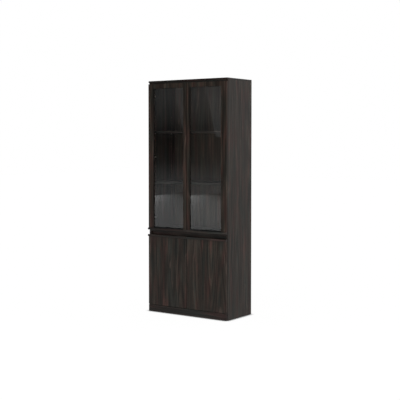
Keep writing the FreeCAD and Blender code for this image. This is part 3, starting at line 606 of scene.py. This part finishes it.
def gasket():
    """Tree: a strip of rubber with rounded edges, swept along a run with rounded corners."""
    tree, given, end = grower("gasket", "Run", Thick=1.0 * MM, Wide=5.4 * MM, Edge=0.4 * MM,
                              Corner=2.0 * MM)
    line = grow(tree, "MeshToCurve", {"Mesh": given["Run"]})
    path = grow(tree, "FilletCurve", {"Curve": line, "Count": 5, "Radius": given["Corner"]},
                mode="POLY")
    outline = strip_outline(tree, given, given["Wide"], given["Thick"])
    return end(grow(tree, "CurveToMesh", {"Curve": path, "Profile Curve": outline}))


def foot_lip():
    """Tree: a thin rubber lip with a rounded edge that stands on a straight run."""
    tree, given, end = grower("foot_lip", "Run", Height=11.5 * MM, Thick=0.9 * MM, Edge=0.3 * MM)
    line = grow(tree, "MeshToCurve", {"Mesh": given["Run"]})
    outline = strip_outline(tree, given, given["Thick"], given["Height"])
    half = math_node(tree, "MULTIPLY", given["Height"], -0.5)
    moved = grow(tree, "Transform", {"Geometry": outline, "Translation": three(tree, y=half)})
    return end(grow(tree, "CurveToMesh", {"Curve": line, "Profile Curve": moved,
                                          "Fill Caps": True}))


def shelf_holes():
    """Tree: two rows of holes in the inner face of a side, in each of its three bays."""
    tree, given, end = grower("shelf_holes", "Board", Radius=3.0 * MM, Depth=10.0 * MM,
                              Pitch=32.0 * MM, Holes=11, Face=0.432, Front=-0.11525,
                              Back=0.13955, Lower=0.2515, Middle=1.0645, Upper=1.5445)
    drill = grow(tree, "MeshCylinder", {
        "Vertices": 12, "Radius": given["Radius"],
        "Depth": math_node(tree, "MULTIPLY", given["Depth"], 2.0)})
    row = grow(tree, "MeshLine", {"Count": given["Holes"],
                                  "Offset": three(tree, z=given["Pitch"])})
    drills = grow(tree, "InstanceOnPoints", {"Points": row, "Instance": drill,
                                             "Rotation": (0, math.radians(90), 0)})
    drills = grow(tree, "RealizeInstances", {0: drills})
    rows = [grow(tree, "Transform", {
        "Geometry": drills, "Translation": three(tree, given["Face"], given[depth], given[bay])})
        for bay in ("Lower", "Middle", "Upper") for depth in ("Front", "Back")]
    return end(carve(tree, given["Board"], rows))


def set_sizes(piece, tree, finish, sizes):
    """Put a tree on a piece, set its sizes and make the result the piece's own mesh."""
    maker = piece.modifiers.new("maker", "NODES")
    maker.node_group = tree
    values = {"Finish": finish, **sizes}
    for item in tree.interface.items_tree:
        if item.in_out == "INPUT" and item.name in values:
            maker[item.identifier] = values[item.name]
    return finished(piece)


def grown(name, tree, mesh, body, slot, finish, **sizes):
    """Piece that a tree makes from a mesh of spots or runs."""
    piece = set_sizes(new_piece(name, mesh), tree, finish, sizes)
    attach(piece, body)
    return piece


# Each screw is turned on from the one before it by this angle, in radians.
SPIN_STEP = 2.4


def spots_mesh(name, spots):
    """Mesh of single points from (place, facing) pairs."""
    mesh = bpy.data.meshes.new(name)
    mesh.from_pydata([place for place, _ in spots], [], [])
    facing = mesh.attributes.new("facing", "FLOAT_VECTOR", "POINT")
    facing.data.foreach_set("vector", [part for _, way in spots for part in way])
    spin = mesh.attributes.new("spin", "FLOAT", "POINT")
    spin.data.foreach_set("value", [SPIN_STEP * number for number in range(len(spots))])
    return mesh


def run_mesh(name, points, closed=True):
    """Mesh of one run through corner points."""
    mesh = bpy.data.meshes.new(name)
    count = len(points)
    mesh.from_pydata(points, [(i, (i + 1) % count) for i in range(count - (not closed))], [])
    return mesh


SCREWS, DOMES, BRADS, GASKET, LIP, SHELF_HOLES = (cross_screws(), domes(), brads(), gasket(),
                                                  foot_lip(), shelf_holes())


# ---------------------------------------------------------------- boards

def of_both(*parts):
    """Names of left and right nodes."""
    return [side + "_" + part for side in SIDES for part in parts]


# Outer faces that no foil covers. Bores and grooves are bare in every board named here.
BARE_FACES = {
    "top_panel": ("+y",), "middle_panel": ("+y",), "bottom_panel": ("+y",),
    "recess_rail": ("-z", "+z"), "plinth_front": ("-z",), "plinth_back": ("-z",),
    "shelf_upper": ("+y",), "shelf_middle": ("+y",), "shelf_lower": ("+y",),
    "side_panel_left": ("+y", "-z", "+z"), "side_panel_right": ("+y", "-z", "+z"),
    "left_panel_door_board": (), "right_panel_door_board": (),
}
DOOR_BOARDS = of_both("glass_door_frame", "glass_door_handle_strip", "panel_door_board",
                      "panel_door_handle_strip")
BANDED_FRONTS = ("side_panel_left", "side_panel_right", "bottom_panel")
ARRIS = 0.6 * MM
# Distances from the middle of the bookcase: where the doors meet, where they end, and how far out
# the doors' eased arrises carry painted shade.
DOORS_MEET, DOOR_END, DOOR_SHADE_REACH = 1.7 * MM, 447.8 * MM, 447 * MM
# Values of the edge mark: 1 is a rubbed arris, 0 plain foil, 0.5 a painted highlight; below 0 is
# painted shade, darkest at -1.
GAP_SHADE, STRIP_END_SHADE, DOOR_END_HIGHLIGHT, BAND_SHADE = -1, -0.7, 0.5, -0.5


def edge_value(node, face, eased):
    """Edge mark of one face of a board, for wear, painted shade and painted highlights; eased is
    what it has as an eased or plain face.
    """
    out, way, strip = abs(face.center.x), face.normal, node.endswith("strip")
    if node in DOOR_BOARDS:
        # Painted shade in the gap where the two doors meet.
        if out < DOORS_MEET:
            return GAP_SHADE
        # Outer ends: painted shade on the strips' ends, a painted highlight on the doors' edges.
        if out > DOOR_END:
            return STRIP_END_SHADE if strip else DOOR_END_HIGHLIGHT
        # Painted shade on the door boards' eased arrises and on the strips' lower arrises.
        if out < DOOR_SHADE_REACH and (way.z < -0.3 or not strip):
            return -eased
    # Painted shade on the front edges of the sides and the bottom panel.
    elif node in BANDED_FRONTS and way.y < -0.9:
        return BAND_SHADE
    # Painted shade on the plinth's top, under the bottom panel.
    elif node == "plinth_front" and way.z > 0.9:
        return GAP_SHADE
    return eased


for node, (grain, leaf, tone) in WENGE_BOARDS.items():
    def fit_out(piece, finish, node=node):
        if node.startswith("side_panel"):
            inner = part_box(node)[0 if node.endswith("right") else 1][0]
            set_sizes(piece, SHELF_HOLES, finish, {"Face": inner})
        if node in BARE_FACES:
            mark_bare(piece, BARE_FACES[node])
        wear = piece.data.attributes["edge_wear_and_painted_light"].data
        for face in piece.data.polygons:
            wear[face.index].value = edge_value(node, face, wear[face.index].value)
    softened(node, "_foiled", wenge("wenge_" + node, grain, leaf, tone), ARRIS,
             made_by=fit_out)


def repaint(nodes, finish):
    """Give CAD nodes that stay as they are their finish."""
    for name in nodes:
        mesh = frame["nodes"][name].data
        mesh.materials.clear()
        mesh.materials.append(finish)


STEEL, ZINC, RUBBER = nickel_steel(), cast_zinc(), seal_rubber()
CLEAR_PLASTIC = plastic("clear_plastic", (0.78, 0.79, 0.78), (0.86, 0.87, 0.86), 0.3,
                        Transmission_Weight=0.6)
DARK_PLASTIC = plastic("dark_plastic", (0.012, 0.010, 0.009), (0.020, 0.017, 0.015), 0.5)
repaint(["cam_bolts"], STEEL)
repaint(["cam_locks"], ZINC)
repaint(of_both("glass_seal"), RUBBER)
repaint(["dowels"], beech())
repaint(["back_panel_upper", "back_panel_lower"], foiled_hardboard())
repaint(["back_joint_profile"], DARK_PLASTIC)

GLASS = pane_glass()
for node in of_both("glass_pane"):
    softened(node, "_polished", GLASS, 0.4 * MM)
softened("floor_glides", "_moulded", DARK_PLASTIC, 0.5 * MM, turn=50)


# ---------------------------------------------------------------- hinges and small fittings

softened("hinge_plates", "_pressed", STEEL, 0.3 * MM)
softened("hinge_arms", "_pressed", STEEL, 0.25 * MM, turn=20)
softened("shelf_pins", "_turned", STEEL, 0.25 * MM, turn=50)
for node in of_both("glass_door_hinge_links", "panel_door_hinge_links"):
    softened(node, "_pressed", STEEL, 0.2 * MM, turn=50)

FRONT_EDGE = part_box("side_panel_right")[0][1]
DOOR_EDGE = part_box("right_panel_door_board")[1][0]
DOOR_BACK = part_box("right_panel_door_board")[1][1]
SIDE_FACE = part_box("side_panel_right")[0][0]
CUP_INSET, CUP_RIM, CUP_AROUND = 20.5 * MM, 0.8 * MM, 48
# A cup's wall, from the middle of its inside over the lip to the middle of its outside:
# distance from the cup's own line and height over the door's back, in mm.
CUP_WALL = ((0, -11.4), (15.5, -11.4), (16.5, -10.9), (16.9, -10.0), (16.9, 0.3), (17.2, 0.8),
            (17.85, 0.8), (18.0, 0.6), (18.0, 0), (17.5, 0), (17.5, -10.6), (16.9, -11.6),
            (15.9, -12.0), (0, -12.0))
EAR_FOOT, EAR_WIDTH, EAR_REACH, EAR_CORNER = 17.7 * MM, 12 * MM, 31 * MM, 5 * MM
EAR_SCREW = (6 * MM, 24 * MM)


def solid_reaches(node, axis):
    """Lowest and highest number along an axis of each separate solid of a node."""
    work = bmesh.new()
    work.from_mesh(frame["nodes"][node].data)
    bmesh.ops.remove_doubles(work, verts=work.verts, dist=JOIN)
    left, reaches = set(work.verts), []
    while left:
        ready, found = [left.pop()], []
        while ready:
            point = ready.pop()
            found.append(point.co[axis])
            for edge in point.link_edges:
                other = edge.other_vert(point)
                if other in left:
                    left.discard(other)
                    ready.append(other)
        reaches.append((min(found), max(found)))
    work.free()
    return reaches


def hinge_levels(node):
    """Heights of the hinges, from the separate solids of a node."""
    return sorted({round(sum(z) / 2, 4) for z in solid_reaches(node, 2)})


def arc(x, z, radius, start, stop, steps):
    """Points on an arc about (x, z), from one angle to another in degrees."""
    turns = [math.radians(start + (stop - start) * i / steps) for i in range(steps + 1)]
    return [(x + radius * math.cos(turn), z + radius * math.sin(turn)) for turn in turns]


EAR_OUTLINE = (
    arc(0, 0, EAR_FOOT, 90, 90 + math.degrees(math.asin(EAR_WIDTH / EAR_FOOT)), 8)
    + arc(EAR_CORNER - EAR_WIDTH, EAR_REACH - EAR_CORNER, EAR_CORNER, 180, 90, 6)
    + arc(-EAR_CORNER, EAR_REACH - EAR_CORNER, EAR_CORNER, 90, 0, 6))


def turn_pot(work, centre):
    """Pot with a rolled lip, turned from the line of its wall."""
    rings = []
    for radius, rise in CUP_WALL:
        if radius == 0:
            rings.append([work.verts.new(centre + Vector((0, rise * MM, 0)))] * CUP_AROUND)
            continue
        circle = arc(0, 0, radius * MM, 0, 360, CUP_AROUND)[:-1]
        rings.append([work.verts.new(centre + Vector((x, rise * MM, z))) for x, z in circle])
    for inner, outer in zip(rings, rings[1:]):
        for i in range(CUP_AROUND):
            n = (i + 1) % CUP_AROUND
            work.faces.new(tuple(dict.fromkeys((inner[i], inner[n], outer[n], outer[i]))))


def press_ear(work, centre, side, up):
    """Flat ear with rounded corners, over or under the pot."""
    low, high = ([work.verts.new(centre + Vector((side * x, rise, up * z)))
                  for x, z in EAR_OUTLINE] for rise in (0.0, CUP_RIM))
    work.faces.new(low)
    work.faces.new(high)
    for i in range(len(EAR_OUTLINE)):
        n = (i + 1) % len(EAR_OUTLINE)
        work.faces.new((low[i], low[n], high[n], high[i]))


def cup_mesh(name, side, levels):
    """Pressed cups of one door: a turned pot with two ears at each level."""
    work = bmesh.new()
    for z in levels:
        centre = Vector((side * (DOOR_EDGE - CUP_INSET), DOOR_BACK, z))
        turn_pot(work, centre)
        for up in (1, -1):
            press_ear(work, centre, side, up)
    bmesh.ops.recalc_face_normals(work, faces=work.faces)
    mesh = bpy.data.meshes.new(name)
    work.to_mesh(mesh)
    work.free()
    for face in mesh.polygons:
        face.use_smooth = True
    mesh.set_sharp_from_angle(angle=math.radians(40))
    mesh.materials.append(STEEL)
    return mesh


HINGES = {door: hinge_levels("right_%s_hinge_cups" % door)
          for door in ("glass_door", "panel_door")}
for side_name, side in SIDES.items():
    for door, levels in HINGES.items():
        node = "%s_%s_hinge_cups" % (side_name, door)
        cups = new_piece(node + "_pressed", cup_mesh(node + "_pressed", side, levels))
        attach(cups, BODY_OF[node])
        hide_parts(node)


# Places of the handle strip's screws, as shares of its length from its inner end.
STRIP_SCREWS = (0.16, 0.39, 0.61, 0.84)


def door_screws(side, levels, strip):
    """Spots on a door's back: two screws in each cup's ears, four in its handle strip."""
    x = side * (DOOR_EDGE - CUP_INSET - EAR_SCREW[0])
    spots = [((x, DOOR_BACK + CUP_RIM, z + up * EAR_SCREW[1]), (0, 1, 0))
             for z in levels for up in (1, -1)]
    low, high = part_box(strip)
    inner, outer = sorted((low[0], high[0]), key=abs)
    spots += [((inner + (outer - inner) * share, DOOR_BACK, (low[2] + high[2]) / 2), (0, 1, 0))
              for share in STRIP_SCREWS]
    return spots


PLATE_WING, PLATE_HOLE, PLATE_BACK = 2 * MM, 16 * MM, 40 * MM
ARM_CROWN, ARM_SCREWS = 25.6 * MM, (33 * MM, 52 * MM)
COVER_SCREWS_X, COVER_SCREWS_Y = (-0.36, 0.0, 0.36), (-0.145, 0.165)
CAM_X, CAM_Y = 0.398, -0.12525


def hinge_screws():
    """Spots on the carcass: two screws in each plate and two on each arm."""
    spots = []
    for side in SIDES.values():
        for z in HINGES["glass_door"] + HINGES["panel_door"]:
            spots += [((side * (SIDE_FACE - PLATE_WING), FRONT_EDGE + PLATE_BACK,
                        z + up * PLATE_HOLE), (-side, 0, 0)) for up in (1, -1)]
            spots += [((side * (DOOR_EDGE - ARM_CROWN), FRONT_EDGE + behind, z), (-side, 0, 0))
                      for behind in ARM_SCREWS]
    return spots


def board_screws():
    """Spots under the top panel, from where the cover board is screwed on."""
    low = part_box("top_panel")[0]
    return [((x, y, low[2]), (0, 0, -1)) for x in COVER_SCREWS_X for y in COVER_SCREWS_Y]


grown("carcass_screws", SCREWS, spots_mesh("carcass_screws", hinge_screws() + board_screws()),
      CARCASS, "nickel_steel", STEEL)
cam_spots = []
for panel in ("top_panel", "middle_panel", "bottom_panel"):
    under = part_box(panel)[0][2]
    cam_spots += [((side * CAM_X, CAM_Y, under), (0, 0, -1)) for side in SIDES.values()]
grown("cam_faces", SCREWS, spots_mesh("cam_faces", cam_spots), CARCASS, "cast_zinc", ZINC,
      Radius=7.2 * MM, Rise=0.5 * MM, Slot=1.5 * MM, Sunk=0.6 * MM)

for side_name, side in SIDES.items():
    for door, levels in HINGES.items():
        body = "%s_%s" % (side_name, door)
        spots = door_screws(side, levels, body + "_handle_strip")
        grown(body + "_screws", SCREWS, spots_mesh(body + "_screws", spots), body, "nickel_steel",
              STEEL, Radius=3.0 * MM, Rise=0.8 * MM)
        bumpers = body + "_bumpers"
        low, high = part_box(bumpers)
        spots = [(((low[0] + high[0]) / 2, DOOR_BACK, sum(z) / 2), (0, 1, 0))
                 for z in sorted(solid_reaches(bumpers, 2))]
        piece = grown(bumpers + "_domed", DOMES, spots_mesh(bumpers, spots), body, "clear_plastic",
                      CLEAR_PLASTIC, Radius=3.0 * MM, Rise=1.2 * MM)
        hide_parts(bumpers)

BRADS_IN = 4 * MM
# The frame covers the pane by PANE_COVERED at its sides and top; the opening starts below it.
PANE_COVERED, PANE_OVER_OPENING = 6.5 * MM, 1.5 * MM
GASKET_IN, GASKET_BACK, GASKET_DEPTH = 0.6 * MM, 0.7 * MM, 5.4 * MM
LIP_ENDS, LIP_RISE, LIP_FROM_BACK = 0.6 * MM, 0.5 * MM, 2.0 * MM


def window(left, right, foot, top, y):
    """Corners of an upright oblong."""
    return [(left, y, foot), (right, y, foot), (right, y, top), (left, y, top)]


for side_name in SIDES:
    body = side_name + "_glass_door"
    low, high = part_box(side_name + "_glazing_beads")
    run = window(low[0] + BRADS_IN, high[0] - BRADS_IN, low[2] + BRADS_IN, high[2] - BRADS_IN,
                 high[1])
    grown(side_name + "_bead_brads", BRADS, run_mesh(side_name + "_bead_brads", run), body,
          "nickel_steel", STEEL)
    low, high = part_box(side_name + "_glass_pane")
    left, right = low[0] + PANE_COVERED + GASKET_IN, high[0] - PANE_COVERED - GASKET_IN
    foot, top = low[2] - PANE_OVER_OPENING + GASKET_IN, high[2] - PANE_COVERED - GASKET_IN
    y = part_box(body + "_frame")[0][1] + GASKET_BACK + GASKET_DEPTH / 2
    run = window(left, right, foot, top, y)
    grown(side_name + "_glass_gasket", GASKET, run_mesh(side_name + "_glass_gasket", run), body,
          "seal_rubber", RUBBER, Wide=GASKET_DEPTH)
    y += GASKET_DEPTH / 2 - LIP_FROM_BACK
    run = [(x, y, foot + LIP_RISE) for x in (left + LIP_ENDS, right - LIP_ENDS)]
    lip = run_mesh(side_name + "_glass_foot_lip", run, closed=False)
    grown(side_name + "_glass_foot_lip", LIP, lip, body, "seal_rubber", RUBBER)


# ---------------------------------------------------------------- floor, studio and light

def glow_finish():
    """Emission of the studio boards, from their own attribute."""
    made, tree, shader = material("studio_glow")
    tree.nodes.remove(shader)
    strength = add(tree, "ShaderNodeAttribute", attribute_name="glow").outputs["Fac"]
    light = add(tree, "ShaderNodeEmission", {"Color": (0.97, 0.985, 1.0, 1),
                                             "Strength": strength})
    surface(tree, light)
    return made


# The floor: how much of it is plain white and how bright, how bright mirrors see it, and how near
# a piece stands to get a painted contact shadow.
FLOOR_HALF = 30.0
FLOOR_SHARE, FLOOR_WHITE, FLOOR_GLOSS, FLOOR_CONTACT = 0.94, 1.03, 0.72, 0.045
SKY_LEVEL = 0.68
LAMP_SIZE, LAMP_POWER = 2.4, 44.0
LAMP_PLACE, LAMP_AIM = (1.7, -3.7, 1.1), (0, 0, 0.8)
CAMERA_PLACE, CAMERA_DOWN, CAMERA_TURN = (4.951, -6.9913, 1.6056), 2.4208, 35.2416
CAMERA_LENS, CAMERA_SENSOR, CAMERA_SHIFT = 81.5, 36.0, -0.045

# The dark side of the studio, which the doors face: height above the floor and glow.
STUDIO_Y, STUDIO_HALF = -4.0, 20
STUDIO_TONES = ((0.84, 0.37), (0.95, 0.345), (1.06, 0.29), (1.20, 0.175), (1.34, 0.05),
                (1.50, 0.03), (1.65, 0.03), (1.84, 0.07), (1.95, 0.11), (2.18, 0.185),
                (2.28, 0.225), (2.45, 0.225), (9.0, 0.225))
HUNG_Y = STUDIO_Y + 0.01
# Pale boards that hang before it, by their outline from the top left, clockwise.
PALE_BOARDS = (
    ((-2.987, 2.434), (-2.797, 2.427), (-2.797, 1.820), (-2.848, 1.833), (-2.866, 1.911),
     (-2.907, 2.088), (-2.956, 2.235), (-2.976, 2.379)),
    ((-2.460, 2.429), (-2.144, 2.417), (-2.143, 1.701), (-2.240, 1.697), (-2.266, 1.719),
     (-2.293, 1.828), (-2.333, 2.001), (-2.380, 2.186), (-2.439, 2.329)),
)
PALE_GLOW = 0.29
# Low white boards under it: left end and its height, right end and its height, bright spot, how
# fast the spot falls off to the right, and shade at the right.
LOW_BOARDS = ((-3.42, 0.825, -2.80, 0.908, 1.65, 2.0, 0.75),
              (-2.74, 0.859, -2.10, 0.913, 1.32, 2.6, 1.05))
LOW_FOOT, LOW_LEAST, LOW_ACROSS = 0.30, 0.08, 7
LOW_DROPS = (0.0, 0.02, 0.04, 0.06, 0.08, 0.13, 0.19, 0.27, 0.36, 0.48, 0.64, 1.0)
SPOT_DEEP, SHADE_DEEP, EDGE_DEEP, EDGE_GLOW = 0.11, 0.07, 0.03, 0.62


def studio_board(name, y, spots, faces, finish):
    """Upright board that only mirrors and glass see. Its spots are (x, z, glow)."""
    mesh = bpy.data.meshes.new(name)
    mesh.from_pydata([(x, y, z) for x, z, _ in spots], [], faces)
    mesh.materials.append(finish)
    light = mesh.attributes.new("glow", "FLOAT", "POINT")
    light.data.foreach_set("value", [glow for _, _, glow in spots])
    board = new_piece(name, mesh)
    board.visible_camera = board.visible_diffuse = board.visible_shadow = False
    board.visible_transmission = False


def between_rows(rows, across):
    """Faces between rows of spots."""
    return [(i, i + 1, i + across + 1, i + across) for row in range(rows - 1)
            for i in range(row * across, (row + 1) * across - 1)]


def low_board_spots(left, left_top, right, right_top, bright, fall, shade):
    """Spots of a low board: soft top edge, brightest at its upper left, shaded at its right."""
    spots = []
    for drop in LOW_DROPS:
        for i in range(LOW_ACROSS):
            u = i / (LOW_ACROSS - 1)
            top = left_top + (right_top - left_top) * u
            depth = drop * (top - LOW_FOOT)
            glow = (FLOOR_GLOSS + bright * (1 - u) ** fall * math.exp(-depth / SPOT_DEEP)
                    - shade * u * u * math.exp(-depth / SHADE_DEEP))
            edge = min(1.0, EDGE_GLOW + (1 - EDGE_GLOW) * depth / EDGE_DEEP)
            spots.append((left + (right - left) * u, top - depth, max(glow * edge, LOW_LEAST)))
    return spots


def floor_finish():
    """Pale floor: white to the camera with a painted contact shadow, plain and pale to all else.
    """
    made, tree, shader = material("pale_floor", Roughness=0.9, Specular_IOR_Level=0.1)
    tone = noise(tree, own_place(tree), (0.7, 0.7, 0.7), 2)
    tree.links.new(spread(tree, tone, 0.3, 0.7, 0.80, 0.84), shader.inputs["Base Color"])
    path = add(tree, "ShaderNodeLightPath").outputs
    seen = math_node(tree, "MAXIMUM", path["Is Camera Ray"], path["Is Transmission Ray"])
    # Painted contact shadow: the white glow dims where ambient occlusion finds a piece near.
    open_sky = add(tree, "ShaderNodeAmbientOcclusion", {"Distance": FLOOR_CONTACT}, samples=8)
    white = add(tree, "ShaderNodeEmission", {"Strength": spread(
        tree, open_sky.outputs["AO"], 0.50, 0.95, 0.03, FLOOR_WHITE)})
    mirrored = add(tree, "ShaderNodeEmission", {"Strength": FLOOR_GLOSS})
    plain = add(tree, "ShaderNodeMixShader",
                {0: math_node(tree, "MULTIPLY", seen, FLOOR_SHARE), 1: shader.outputs[0],
                 2: white.outputs[0]})
    both = add(tree, "ShaderNodeMixShader", {0: path["Is Glossy Ray"], 1: plain.outputs[0],
                                             2: mirrored.outputs[0]})
    surface(tree, both)
    return made


def sky():
    """Even white light; the camera, mirrors and glass see it at full white."""
    world = bpy.data.worlds.new("studio")
    bpy.context.scene.world = world
    world.use_nodes = True
    tree = world.node_tree
    path = add(tree, "ShaderNodeLightPath").outputs
    seen = math_node(tree, "MAXIMUM", path["Is Camera Ray"],
                     math_node(tree, "MAXIMUM", path["Is Glossy Ray"],
                               path["Is Transmission Ray"]))
    back = tree.nodes["Background"]
    back.inputs["Color"].default_value = (1, 1, 1, 1)
    tree.links.new(spread(tree, seen, 0, 1, SKY_LEVEL, 1.0), back.inputs["Strength"])


def softbox():
    """Large soft lamp in front, low and a little to the right."""
    lamp = bpy.data.lights.new("softbox", "AREA")
    lamp.shape, lamp.size, lamp.energy = "SQUARE", LAMP_SIZE, LAMP_POWER
    holder = bpy.data.objects.new("softbox", lamp)
    bpy.context.scene.collection.objects.link(holder)
    holder.location = LAMP_PLACE
    aim = Vector(LAMP_AIM) - Vector(LAMP_PLACE)
    holder.rotation_euler = aim.to_track_quat("-Z", "Y").to_euler()
    holder.visible_camera = holder.visible_glossy = False


def studio():
    """Floor, studio boards, sky and lamp."""
    h = FLOOR_HALF
    mesh = bpy.data.meshes.new("floor")
    mesh.from_pydata([(-h, -h, 0), (h, -h, 0), (h, h, 0), (-h, h, 0)], [], [(0, 1, 2, 3)])
    mesh.materials.append(floor_finish())
    new_piece("floor", mesh)

    finish = glow_finish()
    studio_board("studio_side", STUDIO_Y,
                 [(x, z, glow) for z, glow in STUDIO_TONES for x in (-STUDIO_HALF, STUDIO_HALF)],
                 between_rows(len(STUDIO_TONES), 2), finish)
    for number, sizes in enumerate(LOW_BOARDS):
        studio_board("low_board_%d" % number, HUNG_Y, low_board_spots(*sizes),
                     between_rows(len(LOW_DROPS), LOW_ACROSS), finish)
    for number, outline in enumerate(PALE_BOARDS):
        studio_board("pale_board_%d" % number, HUNG_Y, [(x, z, PALE_GLOW) for x, z in outline],
                     [tuple(range(len(outline)))], finish)
    sky()
    softbox()


def make_camera():
    """Camera that looks a little down at the front from the right."""
    data = bpy.data.cameras.new("camera")
    data.lens, data.sensor_width, data.shift_y = CAMERA_LENS, CAMERA_SENSOR, CAMERA_SHIFT
    data.clip_end = 100.0
    camera = bpy.data.objects.new("camera", data)
    bpy.context.scene.collection.objects.link(camera)
    camera.location = CAMERA_PLACE
    camera.rotation_euler = (math.radians(90 - CAMERA_DOWN), 0, math.radians(CAMERA_TURN))
    bpy.context.scene.camera = camera


studio()
make_camera()
bpy.context.scene.view_settings.view_transform = "Standard"
